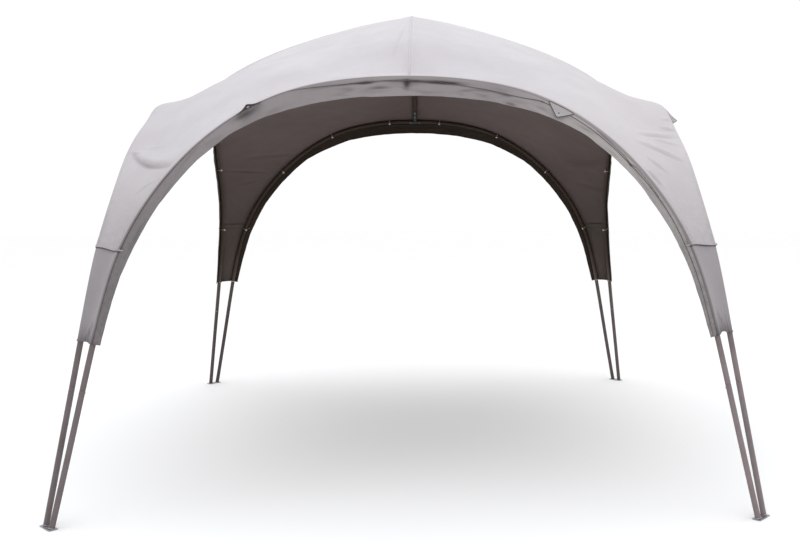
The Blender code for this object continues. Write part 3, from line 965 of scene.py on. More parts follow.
@dataclass(frozen=True)
class PowderCoat:
    """Steel tube with a baked powder coat.

    The eye gets a satin brown grey with an orange peel ripple of about 1.5 mm, a few
    rubbed patches, and a film of pale dust on the legs. The dark tone above the dust
    stands for painted shade under the canopy; the dust is thinner on the rear legs,
    which is painted shade, and paler at +X, which is painted light.
    """

    name: str = "powder_coated_steel"
    # The coat's brown grey, dark enough to stand for painted shade on the tubes under the canopy
    tone: str = "#33281F"
    rubbed: str = "#3C3028"
    dust_and_shade: str = "#6D6465"
    # The dust on the side at +X is lit through
    sunlit: str = "#817677"
    dust_and_shade_from: float = 1.25
    dust_and_shade_to: float = 0.75
    # Painted shade: the share of dust left on the rear legs
    rear_shade_share: float = 0.42
    roughness: float = 0.55

    def material(self) -> bpy.types.Material:
        """Return the powder coat as a node material on object coordinates.

        Returns:
            The material.
        """
        material, add, shader = start_material(self.name)
        place = add("TexCoord").outputs["Object"]
        split = add("SeparateXYZ", {0: place})
        patches = add("TexNoise", {"Vector": place, "Scale": 7, "Detail": 6, "Roughness": 0.65})
        tone = add("ValToRGB", {"Fac": patches}, ((0.5, self.tone), (0.78, self.rubbed)))
        # Pale dust low on the legs; the dark tone above it is painted shade under the canopy
        low = add("MapRange", {"Value": split.outputs["Z"], "From Min": self.dust_and_shade_from,
            "From Max": self.dust_and_shade_to}, interpolation_type="SMOOTHSTEP")
        specks = add("MapRange", {"Value": patches, "From Min": 0.3, "From Max": 0.6, "To Min": 0.75})
        # Painted shade: less dust towards the rear
        rear = add("MapRange", {"Value": split.outputs["Y"], "From Min": 0.5, "From Max": 1.4, "To Min": 1,
            "To Max": self.rear_shade_share}, interpolation_type="SMOOTHSTEP")
        film = add("Math", {0: low, 1: specks}, operation="MULTIPLY", use_clamp=True)
        thin = add("Math", {0: film, 1: rear}, operation="MULTIPLY")
        sun = add("MapRange", {"Value": split.outputs["X"], "From Min": 0.9, "From Max": 1.7})
        powder = add("Mix", {0: sun, 6: self.dust_and_shade, 7: self.sunlit}, data_type="RGBA")
        with_dust_and_shade = add("Mix", {0: thin, 6: tone, 7: powder}, data_type="RGBA")
        gloss = add("MapRange", {"Value": patches, "From Min": 0.3, "From Max": 0.8,
            "To Min": self.roughness - 0.06, "To Max": self.roughness + 0.14})
        peel = add("TexNoise", {"Vector": place, "Scale": 650, "Detail": 2})
        bump = add("Bump", {"Height": peel, "Strength": 0.12, "Distance": 0.0004})
        feed(shader, {"Base Color": with_dust_and_shade, "Normal": bump, "Roughness": gloss, "Specular IOR Level": 0.2})
        return material


@dataclass(frozen=True)
class ZincPlate:
    """Pressed steel plate with dull zinc: pale grey with cloudy spangles and scuffs."""

    name: str = "zinc_plated_steel"
    tone: str = "#B9B6BC"
    dull: str = "#8F8C92"

    def material(self) -> bpy.types.Material:
        """Return the zinc as a node material on object coordinates.

        Returns:
            The material.
        """
        material, add, shader = start_material(self.name)
        place = add("TexCoord").outputs["Object"]
        spangle = add("TexVoronoi", {"Vector": place, "Scale": 160}).outputs["Color"]
        cloud = add("TexNoise", {"Vector": place, "Scale": 45, "Detail": 6, "Roughness": 0.7})
        tone = add("ValToRGB", {"Fac": cloud}, ((0.35, self.dull), (0.65, self.tone)))
        gloss = add("MapRange", {"Value": spangle, "To Min": 0.42, "To Max": 0.62})
        feed(shader, {"Base Color": tone, "Roughness": gloss, "Metallic": 0.85})
        return material


@dataclass(frozen=True)
class MouldedPlastic:
    """Injection moulded polypropylene: matt, with the faint grain of its mould."""

    name: str
    tone: str
    roughness: float = 0.48
    grain: float = 900.0

    def material(self) -> bpy.types.Material:
        """Return the plastic as a node material on object coordinates.

        Returns:
            The material.
        """
        material, add, shader = start_material(self.name)
        place = add("TexCoord").outputs["Object"]
        grain = add("TexNoise", {"Vector": place, "Scale": self.grain, "Detail": 3})
        value = add("MapRange", {"Value": grain, "To Min": 0.88, "To Max": 1.12})
        shift = add("HueSaturation", {"Color": self.tone, "Value": value})
        bump = add("Bump", {"Height": grain, "Strength": 0.2, "Distance": 0.0003})
        feed(shader, {"Base Color": shift, "Normal": bump, "Roughness": self.roughness})
        return material


@dataclass(frozen=True)
class BraidedCord:
    """Round braided cord or thread: ribbed along its length, a little darker in the ribs."""

    name: str
    tone: str
    rib: str
    # Braid pitch in metres along the cord
    pitch: float = 0.0022

    def material(self) -> bpy.types.Material:
        """Return the braid as a node material on the piece's own metres.

        Returns:
            The material.
        """
        material, add, shader = start_material(self.name)
        metres = add("UVMap", uv_map="metres")
        braid = add("TexWave", {"Vector": metres, "Scale": FULL_TURN / (20 * self.pitch),
            "Distortion": 0.8}, wave_type="BANDS", bands_direction="DIAGONAL")
        tone = add("ValToRGB", {"Fac": braid}, ((0.2, self.rib), (0.7, self.tone)))
        bump = add("Bump", {"Height": braid, "Strength": 0.5, "Distance": 0.0005})
        feed(shader, {"Base Color": tone, "Normal": bump, "Roughness": 0.75})
        return material


FINISHES = {
    # Roof, sleeve and valance: darker low down with dust and painted shade, crease tones for painted shade, and
    # paler at +X as painted light
    "roof": WovenCloth("roof_polyester", "#BCB8BB", "#B4AFB2", "#8A8387", dust_and_shade_from=1.8, dust_and_shade_to=1.3,
                       dust_and_shade_share=0.7, painted_light_tone="#C8C2C1", painted_light_share=0.18),
    # The backs' dark tones are their coating and painted shade inside the gazebo
    "roof_back": WovenCloth("roof_coated_back_with_painted_shade", "#524542", "#4D413E", "#332C29", dust_and_shade_from=2,
                            dust_and_shade_to=1.2, dust_and_shade_share=0.7),
    "sleeve": WovenCloth("sleeve_polyester", "#938E92", "#8C878B", "#787273", painted_shade_tone="#6F686B"),
    "sleeve_back": WovenCloth("sleeve_back_with_painted_shade", "#433A34", "#3A312A", "#463D36"),
    "valance": WovenCloth("valance_polyester", "#8B8586", "#837D7E", "#595455", dust_and_shade_from=2.1, dust_and_shade_to=1.1,
                          dust_and_shade_share=0.8, painted_shade_tone="#7A7070", painted_light_tone="#C2BCBA", painted_light_share=0.62),
    "valance_back": WovenCloth("valance_back_with_painted_shade", "#2D2219", "#261C14", "#231C18"),
    "tab": WovenCloth("tab_polyester", "#A29D9F", "#989394", "#787273"),
    # The seam's dark tape, which also paints the shade in the seam's groove; the tabs' binding takes it too
    "tape": WovenCloth("seam_tape_polyester", "#4E4847", "#463F3F", "#4B4545", thread=0.002),
    "thread": BraidedCord("sewing_thread", "#B7B2B5", "#9C979A", pitch=0.001),
    "elastic": BraidedCord("elastic_cord", "#BFB7AB", "#978F82"),
    "tube": PowderCoat(),
    "zinc": ZincPlate(),
    "plastic": MouldedPlastic("black_polypropylene", "#1F1D1C"),
    "ball": MouldedPlastic("cream_polypropylene", "#B2AA9F", roughness=0.45),
}


# Cloth on the arches


@dataclass
class ClothRule:
    """Where cloth lies on the tubes: its radius, the angle it starts at, and where it leaves."""

    lines: FrameLines
    roof_radius: float = 0.0165
    hem_radius: float = 0.0192
    hem_spread: float = 0.07
    hem_rise: float = 0.0008
    sleeve_radius: float = 0.0163
    cover: float = 0.001
    cloth_offset: float = 0.0159
    seam_rise: float = 0.01
    seam_fall: float = 0.0155
    slip: float = math.radians(30.0)
    slip_from: float = 0.1
    slip_to: float = 0.95
    arc_steps: int = 9
    # How much closer together the points stand at both ends of a run
    crowd: float = 0.07

    def seam_angle(self, lengths: Array) -> Array:
        """Return the angle on the arch where roof and valance are sewn together.

        It is atan2(offset, rise - fall * lean), where lean is the angle between the
        away direction and the normal of a level run from arch to arch. On an arch's
        right half the seam has slipped further round the tube.

        Args:
            lengths: chord lengths along the whole arch, or one of them.

        Returns:
            Angles from away towards outdoors.
        """
        sections = self.lines.arch_sections(np.minimum(lengths, self.lines.other_half(lengths)))
        normals = unit(np.cross(sections.along, unit(np.array((-1, 1, 0)))))
        up, out = ((normals * way).sum(axis=1) for way in (sections.away, sections.seamward))
        lean = np.arctan2(out * np.sign(up), np.abs(up))
        slip = self.slip * smooth_step(lengths - self.lines.middle, self.slip_from, self.slip_to)
        return np.arctan2(self.cloth_offset, self.seam_rise - self.seam_fall * lean) + slip

    def both_seams(self, lengths: Array) -> tuple:
        """Return the seam angles on a corner's front tube and on its other tube."""
        return self.seam_angle(lengths), self.seam_angle(self.lines.other_half(lengths))

    def flare(self, lengths: Array) -> Array:
        """Return how far the roof's hem has flared off the left half of the arch, from 0 to 1."""
        return smooth_step(self.lines.hem + self.hem_spread - lengths, 0, self.hem_spread)

    def outer(self, lengths: Array) -> Array:
        """Return the radius just over the roof's edge, or over the sleeve's below the hem.

        Args:
            lengths: chord lengths along the whole arch.

        Returns:
            Radii from the tube's centre line.
        """
        left = np.minimum(lengths, self.lines.other_half(lengths))
        roof = self.roof_radius + (self.hem_radius - self.roof_radius + self.hem_rise) * self.flare(left)
        return np.where(left < self.lines.hem, self.sleeve_radius, roof) + self.cover

    def corner_rows(self, sections: TubeSections, seams: tuple, radius: Array, columns: int,
            close: Array | float = 1, hollow: Array | float = 0) -> tuple:
        """Return rows of points from the front seam round the corner to the left seam.

        A row follows the tube from the seam's angle to the angle where a straight run
        to the other tube, with its swell, touches the tube; then the run; then the same
        on the other tube: Q(1-t) + Q't + 4t(1-t) * swell.

        Args:
            sections: sections of the front tube, one for each row.
            seams: seam angles on the front tube and on the other tube.
            radius: distance of the cloth's middle from the tube's centre line.
            columns: points on the run between the tubes.
            close: factor on the leaving angle, for the rows that close at the crown.
            hollow: how far the run sinks half way, in metres.

        Returns:
            The grid of points; each point's distance from the nearer tube, which is
            zero where the cloth lies on a tube; and the angle where it lies on one.
        """
        far = swap_sides(sections.centre)
        middles = 0.5 * (sections.centre + far)
        full = smooth_table(-middles[:, 0] - middles[:, 1], self.lines.panel_swell) - hollow
        swell = full[:, None] * unit(middles - ROOM_MIDDLE)
        run = far - sections.centre + 4 * swell
        leave = np.arctan2((sections.away * run).sum(axis=1), -(sections.seamward * run).sum(axis=1)) * close
        radius = np.broadcast_to(radius, leave.shape)[:, None]
        share = np.linspace(0, 1, self.arc_steps)
        angles = [seam[:, None] + (leave - seam)[:, None] * share for seam in seams]
        arcs = [sections.rim(angle, radius) for angle in angles]
        start, end = arcs[0][:, -1:], swap_sides(arcs[1][:, -1:])
        even = np.linspace(0, 1, columns)
        t = (even - self.crowd * np.sin(FULL_TURN * even))[None, 1:-1, None]
        between = start * (1 - t) + end * t + 4 * t * (1 - t) * swell[:, None]
        near = np.linalg.norm(end - start, axis=-1) * np.minimum(t, 1 - t)[..., 0]
        flat = np.zeros((len(leave), self.arc_steps))
        points = np.concatenate([arcs[0], between, swap_sides(arcs[1])[:, ::-1]], axis=1)
        turn = np.concatenate([angles[0], np.zeros_like(near), angles[1][:, ::-1]], axis=1)
        return points, np.concatenate([flat, near, flat], axis=1), turn


@dataclass
class SubAssembly:
    """What each sub-assembly of the gazebo is made by."""

    rule: ClothRule
    relief: Relief
    looks: dict

    @property
    def lines(self) -> FrameLines:
        """Return the centre lines of the tubes."""
        return self.rule.lines

    def finishes(self, *names: str) -> list:
        """Return the materials of those names."""
        return [self.looks[name] for name in names]

    def all_round(self, name: str, skin: Skin, finishes: tuple, slot: str, node: str = "",
            sharp: float | None = None) -> list:
        """Make the same piece on each arch, turned about the middle.

        Args:
            name: the piece's name after its arch.
            skin: its surface on the front arch.
            finishes: the names of its finishes.
            slot: not used.
            node: the name of the solid that it replaces, after its arch.
            sharp: as make_piece takes it.

        Returns:
            The pieces.
        """
        return [make_piece(f"{arch}_{name}", skin.turned(turns), self.finishes(*finishes),
            node and f"{arch}_{node}", sharp) for turns, arch in enumerate(ARCHES)]

    def sewn_cloth(self, place: str, kind: str, node: str, points: Array, hem: Hem, marks: dict) -> list:
        """Make a hemmed cloth, and the thread along its hem.

        Args:
            place: the arch or corner.
            kind: roof, sleeve or valance, as in the finishes and slots.
            node: the solid's name after its place.
            points: the cloth's grid.
            hem: its hem.
            marks: values at each grid point, which the cloth's finish reads as painted shade.

        Returns:
            The thread's piece and the cloth's.
        """
        thickness = hem.thickness(points)
        thread = make_piece(f"{place}_{kind}_hem_thread", hem.stitches(points, thickness),
            self.finishes("thread"))
        cloth = make_piece(f"{place}_{kind}_cloth", Sheet(points, thickness, flip=True).shell(),
            self.finishes(kind, f"{kind}_back"), f"{place}_{node}", marks=marks)
        return [thread, cloth]


@dataclass
class RoofCanopy(SubAssembly):
    """The roof: four panels sewn to one another over the ribs, one continuous sheet."""

    hem: Hem = Hem(cloth=0.001, folded=0.0032, depth=0.014, ramp=0.003, stitch_inset=0.0118)
    rib_rows: int = 54
    arch_rows: int = 170
    columns: int = 122
    last_rib_reach: float = 1.35
    rib_crowd: float = 0.25
    # The rows stand closer at the shoulder and at the hem: how far from the middle, width, gain
    shoulder: tuple = (1.17, 0.35, 1.6)
    hem_crowd: tuple = (0.035, 3)
    upright_reach: float = 0.1
    pole_reach: float = 0.06
    ease_rounds: int = 60
    ease_reach: tuple = (0.004, 0.09)
    # Round a tube, the painted shade of the turned down cloth grows between these angles
    turned_angles: tuple = (35, 82)
    flat_size: tuple = (2.2, 3.65)
    flat_area: float = 2.65

    def panel(self) -> tuple:
        """Return the front left panel as points.

        Returns:
            The grid, crown to hem by front seam to left seam; the distances from the
            tubes; and how far the cloth has turned down over a tube, from 0 to 1, which the
            finish paints as shade.
        """
        rule, lines = self.rule, self.lines
        even = np.linspace(0, 1, self.rib_rows)
        reaches = self.last_rib_reach * (even + self.rib_crowd * even * (1 - even))
        ribs = lines.rib_sections(reaches)
        tilt = smooth_step(reaches, 0, self.upright_reach)[:, None]
        ribs = replace(ribs, away=unit(UPWARD * (1 - tilt) + ribs.away * tilt))
        zero = np.zeros(self.rib_rows)
        top = rule.corner_rows(ribs, (zero, zero), rule.roof_radius, self.columns,
            smooth_step(reaches, 0, self.pole_reach))
        drop, *spread = self.shoulder
        lengths = crowded(lines.middle, lines.hem, self.arch_rows,
            ((lines.middle - drop, *spread), (lines.hem, *self.hem_crowd)))
        radius = rule.roof_radius + (rule.hem_radius - rule.roof_radius) * rule.flare(lengths)
        side = rule.corner_rows(lines.arch_sections(lengths), rule.both_seams(lengths), radius, self.columns)
        points, near, turn = (np.concatenate(pair) for pair in zip(top, side))
        return self.ease(points, near), near, smooth_step(turn, *np.radians(self.turned_angles))

    def ease(self, points: Array, near: Array) -> Array:
        """Return the grid with its rows eased into one another away from the tubes.

        Each round moves a point towards (before + 2 * self + after) / 4, so that the
        slope doesn't jump where the rows pass from the ribs to the arches.

        Args:
            points: the grid.
            near: each point's distance from the tubes.

        Returns:
            The eased grid.
        """
        free = smooth_step(near, *self.ease_reach)[1:-1, :, None]
        for _ in range(self.ease_rounds):
            middle = 0.25 * points[:-2] + 0.5 * points[1:-1] + 0.25 * points[2:]
            points[1:-1] += free * (middle - points[1:-1])
        return points

    def build(self) -> list:
        """Build the four panels.

        Returns:
            The pieces.
        """
        base, near, turned = self.panel()
        pieces = []
        for turns, corner in enumerate(CORNERS):
            points = quarter_turn(base, turns)
            lift, painted_shade = self.relief.lift(points, near)
            # Crease depth and the turned down edge both go to the cloth as painted shade
            pieces += self.sewn_cloth(corner, "roof", "canopy_panel", self.relief.settle(points, lift),
                self.hem, {"painted_shade": painted_shade, "turned": turned})
        return pieces


@dataclass
class LegSleeves(SubAssembly):
    """The cloth round each corner's two tubes, below the roof's hem."""

    hem: Hem = Hem(cloth=0.0009, folded=0.0052, depth=0.008, ramp=0.002, stitch_inset=0.0105)
    lap: float = 0.035
    rows: int = 72
    columns: int = 46
    # The rows stand closer where the roof's hem ends and at the foot: width, gain
    lap_crowd: tuple = (0.012, 2)
    foot_crowd: tuple = (0.03, 2.5)
    hollow: float = 0.016
    hollow_top_share: float = 0.35
    scallop: float = 0.003
    scallop_reach: float = 0.05
    gather: float = 0.0036
    gather_pitch: float = 0.017
    gather_reach: float = 0.085
    # Round a tube, the painted shade of the turned down cloth grows between these angles
    turned_angles: tuple = (45, 95)
    # Painted shade across the sleeve: under the roof's hem its drop and width, then along the binding and at
    # the foot its widths and strengths, and in the pleats its strength
    hem_shade: tuple = (0.003, 0.0034)
    binding_shade: tuple = (0.003, 0.7)
    foot_shade: tuple = (0.045, 0.5)
    pleat_shade: float = 0.5
    flat_size: tuple = (0.225, 0.46)

    def grid(self) -> tuple:
        """Return the front left sleeve's points, top to foot, and what lies on it.

        Between the tubes the sleeve sinks by the hollow, its foot rises by the scallop
        as sin^2, and near the foot it gathers in small pleats along its width.

        Returns:
            Points, distances from the tubes, the pleats' lift, how far the cloth has
            turned down over a tube, which the finish paints as shade, and the painted
            shade under the roof's hem, along the binding, at the foot and in the pleats.
        """
        lines = self.lines
        low, high = lines.sleeve_end, lines.hem + self.lap
        lengths = crowded(high, low, self.rows, ((lines.hem, *self.lap_crowd), (low, *self.foot_crowd)))
        sunk = smooth_step((high - lengths) / (high - low), 0.05, 0.6)
        hollow = self.hollow * (self.hollow_top_share + (1 - self.hollow_top_share) * sunk)
        sections = lines.arch_sections(lengths)
        points, near, turn = self.rule.corner_rows(sections, self.rule.both_seams(lengths),
            self.rule.sleeve_radius, self.columns, hollow=hollow)
        across = running_length(points, 1)
        share = across / across[:, -1:]
        above = lengths[:, None] - low
        rise = self.scallop * np.exp(-above / self.scallop_reach) * np.sin(math.pi * share) ** 2
        points = points + sections.along[:, None] * rise[..., None]
        pull = np.exp(-(above / self.gather_reach) ** 2)
        pleat = np.sin(FULL_TURN * across / self.gather_pitch + 1.3 * np.sin(9 * share))
        lift = self.gather * pull * (0.4 + 0.6 * pleat) * smooth_step(near, 0, 0.012)
        # Painted shade under the roof's hem, along the binding, at the foot and in the pleats
        drop, height = self.hem_shade
        shade = np.exp(-((above + low - lines.hem + drop) / height) ** 2)
        for place, (width, strength) in ((self.hem.depth, self.binding_shade), (0, self.foot_shade)):
            shade = np.maximum(shade, strength * np.exp(-((above - place) / width) ** 2))
        shade = np.maximum(shade, self.pleat_shade * pull * (0.5 - 0.5 * pleat))
        return points, near, lift, smooth_step(turn, *np.radians(self.turned_angles)), shade

    def build(self) -> list:
        """Build the four sleeves.

        Returns:
            The pieces.
        """
        base, near, gather, turned, shade = self.grid()
        pieces = []
        for turns, corner in enumerate(CORNERS):
            points = quarter_turn(base, turns)
            lift, painted_shade = self.relief.lift(points, near)
            pieces += self.sewn_cloth(corner, "sleeve", "leg_sleeve",
                self.relief.settle(points, lift + gather), self.hem,
                {"painted_shade": np.maximum(painted_shade, shade), "turned": turned})
        return pieces


@dataclass
class Valances(SubAssembly):
    """The band of cloth sewn to the roof's edge along each arch."""

    hem: Hem = Hem(cloth=0.0009, folded=0.0024, depth=0.011, ramp=0.002, stitch_inset=0.0095, axis=1,
        pitch=0.008)
    radius: float = 0.0153
    lap: float = 0.006
    step: float = 0.0122
    # The rows stand closer round the arch's middle: width, gain
    middle_crowd: tuple = (0.3, 1.8)
    arc_columns: int = 6
    hang_columns: int = 22
    # Waves of the hem: longest, shortest and how many
    waves: tuple = (0.55, 0.06, 9)
    wave_height: float = 0.0028
    edge_height: float = 0.0015
    phase: float = 6.28
    # Pinches at the middle, whose depth is also painted as shade: x, drop, half length, half height, depth, all
    # in metres
    dents: tuple = (
        (-0.31, 0.019, 0.09, 0.0035, 0.004),
        (-0.225, 0.019, 0.042, 0.0065, 0.009),
        (-0.075, 0.017, 0.06, 0.004, 0.006),
        (0.03, 0.017, 0.035, 0.004, 0.005),
        (0.165, 0.02, 0.11, 0.008, 0.011),
        (-0.152, 0.049, 0.055, 0.006, 0.005),
        (-0.014, 0.034, 0.017, 0.026, 0.0066),
        (-0.005, 0.024, 0.05, 0.012, 0.004),
        (0.54, 0.078, 0.028, 0.007, 0.006),
        (0.48, 0.04, 0.05, 0.005, 0.003),
        # Under the front left tab: a hollow whose painted shade stands for the tab's shadow
        (-0.828, 0.012, 0.048, 0.014, 0.0062),
    )
    # The other arches are pinched less than the front one
    other_share: float = 0.55
    # A dent this deep gets the darkest painted shade
    dent_shade: float = 0.009
    front_seed: int = 31
    # Random puckers: how many, their height, and the ranges of x, drop, half length, half height and tilt
    puckers: int = 60
    pucker_height: float = 0.0016
    pucker_ranges: tuple = ((-1.5, 1.5), (0.015, 0.075), (0.02, 0.07), (0.004, 0.01), (-0.3, 0.3))
    depths: tuple = ((0.8, 0.038), (0.89, 0.038), (1.4, 0.055), (1.95, 0.056), (2.12, 0.082), (2.21, 0.092))
    flat_width: float = 0.085

    def grid(self, seed: int) -> tuple:
        """Return the front valance, left foot to right foot by seam to hem.

        Round the tube it follows the circle, and past the angle of 90 degrees it hangs
        straight towards the opening, with waves that grow towards its hem. The dents are
        bells exp(-x^2 - y^2) pressed in where the roof's seams bunch it up.

        Args:
            seed: picks the waves of the hem and the puckers.

        Returns:
            The grid of points, and the painted shade that the dents give each.
        """
        lines, low = self.lines, self.lines.sleeve_end
        count = int((lines.other_half(low) - low) / self.step)
        lengths = crowded(low, lines.other_half(low), count, ((lines.middle, *self.middle_crowd),))
        sections = lines.arch_sections(lengths)
        start = self.rule.seam_angle(lengths) - self.lap / self.radius
        turn = np.maximum(start, SQUARE)
        share = np.linspace(0, 1, self.arc_columns)
        arc = sections.rim(start[:, None] + (turn - start)[:, None] * share, self.radius)
        draw = np.random.default_rng(seed)
        waves = np.zeros((2, count))
        for length in np.geomspace(*self.waves):
            for wave in waves:
                wave += length ** 0.8 * np.sin(FULL_TURN * lengths / length + draw.uniform(0, self.phase))
        wave, edge = waves
        wave *= 0.35 + 0.65 * smooth_step(sections.centre[:, 2], 1.5, 2.1)
        hang = np.linspace(0, 1, self.hang_columns + 1)[1:] ** 0.9
        top = self.radius * np.cos(turn)
        depth = np.interp(sections.centre[:, 2], *zip(*self.depths))
        fall = top[:, None] + (self.edge_height * edge - depth - top)[:, None] * hang
        dent = self.dent(-fall, sections.centre[:, :1], draw,
            1 if seed == self.front_seed else self.other_share)
        tube = np.sqrt(np.maximum(lines.tube_radius ** 2 - fall ** 2, 0)) + self.hem.cloth
        out = self.radius + self.wave_height * wave[:, None] * hang ** 1.5 - dent
        out = np.maximum(out, np.minimum(tube, self.radius))
        band = sections.centre[:, None] + sections.away[:, None] * fall[..., None]
        band = band + sections.seamward[:, None] * out[..., None]
        # Painted shade where the dents press the band in
        shade = np.concatenate([np.zeros(arc.shape[:2]), np.clip(dent / self.dent_shade, 0, 1)], axis=1)
        return np.concatenate([arc, band], axis=1), shade

    def dent(self, place: Array, x: Array, draw: np.random.Generator, share: float) -> Array:
        """Return how far the pinches and puckers press the band in.

        Args:
            place: each point's drop below the tube's centre line.
            x: each row's place across the arch.
            draw: gives the puckers.
            share: factor on the pinches.

        Returns:
            Depths in metres.
        """
        dent = share * sum(deep * np.exp(-((x - across) / half) ** 2 - ((place - drop) / high) ** 2)
            for across, drop, half, high, deep in self.dents)
        for _ in range(self.puckers):
            across, drop, half, high, tilt = (draw.uniform(*ends) for ends in self.pucker_ranges)
            tilted = place - drop - tilt * (x - across)
            dent = dent + self.pucker_height * np.exp(-((x - across) / half) ** 2 - (tilted / high) ** 2)
        return dent

    def build(self) -> list:
        """Build the four valances.

        Returns:
            The pieces.
        """
        pieces = []
        for turns, arch in enumerate(ARCHES):
            points, shade = self.grid(seed=self.front_seed + turns)
            points = self.relief.stand_off(quarter_turn(points, turns))
            pieces += self.sewn_cloth(arch, "valance", "valance", points, self.hem, {"painted_shade": shade})
            length = float(running_length(points, 0)[-1, 0])
        return pieces


@dataclass
class TubeFrame(SubAssembly):
    """Bent steel tubes: lower legs, arches and roof ribs."""

    sides: int = 22
    foot: float = 0.0043
    gap: float = 0.0003
    joint_gap: float = 0.0007
    lip: float = 0.0014
    lip_bend: tuple = (0, 25, 50, 70, 90)
    # The rings of an end's flat disc stand this far apart, so that each has a direction
    hair: float = 5e-7
    disc_share: float = 0.4
    rib_ends: tuple = (0.0363, 1.303)
    leg_rings: int = 26
    arch_rings: int = 150
    rib_rings: int = 60

    def tube(self, line: Spline, start: float, end: float, count: int) -> Skin:
        """Return a run of tube whose two ends are rounded off and closed with a disc.

        The radius near an end follows a quarter circle of the lip's size.

        Args:
            line: the tube's centre line.
            start: chord length where the run starts.
            end: chord length where it ends.
            count: rings between the rounded ends.

        Returns:
            The skin.
        """
        radius, bend = self.lines.tube_radius, np.radians(self.lip_bend)
        cap = np.concatenate([[-2 * self.hair, -self.hair], self.lip * (1 - np.cos(bend))])
        cap_radii = np.concatenate([[0, self.disc_share * radius],
            radius - self.lip * (1 - np.sin(bend))])
        straight = np.linspace(start + self.lip, end - self.lip, count)[1:-1]
        lengths = np.concatenate([start + cap, straight, (end - cap)[::-1]])
        radii = np.concatenate([cap_radii, np.full(count - 2, radius), cap_radii[::-1]])
        return tube_skin(line.at(lengths), radii, self.sides)

    def build(self) -> list:
        """Build legs, arches and ribs.

        Returns:
            The pieces.
        """
        lines = self.lines
        snap = lines.at_height(lines.snap_height)
        leg = self.tube(lines.arch, lines.at_height(self.foot), snap - self.gap, self.leg_rings)
        bent = self.tube(lines.arch, snap + self.joint_gap, lines.other_half(snap + self.joint_gap),
            self.arch_rings)
        rib = self.tube(lines.rib, *lines.on_rib(self.rib_ends), self.rib_rings)
        pieces = []
        for turns, arch in enumerate(ARCHES):
            corner = CORNERS[turns]
            for name, node, skin in (("_tube", f"{corner}_leg_{arch}", leg),
                    ("_tube", f"{corner}_leg_{ARCHES[turns - 1]}", leg.mirrored()),
                    ("_bent_tube", f"{arch}_arch", bent), ("_tube", f"{arch}_roof_rib", rib)):
                pieces.append(make_piece(node + name, skin.turned(turns), self.finishes("tube"),
                    node + "_tube" if skin is bent else node))
        return pieces


@dataclass
class SeamTapesAndShade(SubAssembly):
    """The thin dark line of the seam under the roof's edge, along each arch: seam tape, and painted shade in
    the seam's groove.

    Each line is a table of x, its drop below the roof's edge and its width, in metres.
    The seam wanders where the valance is pinched, and doubles where it is puckered.
    """

    thickness: float = 0.0008
    step: float = 0.008
    columns: int = 4
    crown: float = 0.0004
    seam: tuple = (
        (-1.8, 0, 0.0008), (-1.44, 0, 0.0008), (-1.4, 0.001, 0.0026), (-1.17, 0.001, 0.0026),
        (-1.05, 0, 0.0008), (-0.62, 0, 0.0008), (-0.54, 0.01, 0.002), (-0.46, 0.019, 0.0026),
        (-0.34, 0.026, 0.0028), (-0.22, 0.026, 0.003), (-0.13, 0.023, 0.0024), (-0.01, 0.021, 0.0024),
        (0.07, 0.026, 0.0026), (0.19, 0.031, 0.003), (0.32, 0.037, 0.0028), (0.52, 0.039, 0.0028),
        (0.6, 0.031, 0.0028), (0.67, 0.016, 0.003), (0.685, 0.014, 0.0065), (0.7, 0.015, 0.003),
        (0.86, 0.012, 0.0026), (0.94, 0.011, 0.0026), (1.02, 0.013, 0.0028), (1.12, 0.015, 0.003),
        (1.132, 0.016, 0.0075), (1.145, 0.014, 0.003), (1.22, 0.012, 0.0028), (1.29, 0.01, 0.0026),
        (1.37, 0.013, 0.0028), (1.42, 0.014, 0.0028), (1.5, 0.013, 0.0022), (1.58, 0.014, 0.0007),
    )
    pucker: tuple = (
        (0.95, 0.001, 0.0006), (1, 0.003, 0.0022), (1.1, 0.006, 0.0026), (1.125, 0.012, 0.0034),
        (1.15, 0.003, 0.0022), (1.22, 0.004, 0.0018), (1.27, 0.006, 0.0006),
    )

    def strip(self, table: tuple) -> Array:
        """Return one line on the front arch, left end to right end by roof side to valance side.

        From the roof's edge it runs round the tube by drop / radius, and past the angle
        of 90 degrees it runs straight down the valance.

        Args:
            table: the line's rows.

        Returns:
            The grid of points.
        """
        lines = self.lines
        xs, drops, widths = np.array(table).T
        ends = []
        for x in (xs[0], xs[-1]):
            low = max(lines.at_half_width(abs(x)), lines.sleeve_end)
            ends.append(low if x < 0 else lines.other_half(low))
        lengths = np.linspace(*ends, int((ends[1] - ends[0]) / self.step))
        sections = lines.arch_sections(lengths)
        at = sections.centre[:, 0]
        radius = self.rule.outer(lengths)[:, None]
        share = np.linspace(-0.5, 0.5, self.columns)
        run = np.interp(at, xs, drops)[:, None] + np.interp(at, xs, widths)[:, None] * share
        angle = self.rule.seam_angle(lengths)[:, None] + run / radius
        crown = radius - self.crown * share ** 2
        past = np.maximum(angle - SQUARE, 0) * crown
        return sections.rim(np.minimum(angle, SQUARE), crown) - sections.away[:, None] * past[..., None]

    def build(self) -> list:
        """Build the four seams.

        Returns:
            The pieces.
        """
        bases = [self.strip(table) for table in (self.seam, self.pucker)]
        pieces = []
        for turns, arch in enumerate(ARCHES):
            skins = [Sheet(self.relief.stand_off(quarter_turn(base, turns)), self.thickness,
                flip=True).shell() for base in bases]
            # The dark tape also paints the shade in the seam's groove
            pieces.append(make_piece(f"{arch}_seam_tape", join_skins(skins), self.finishes("tape")))
        return pieces


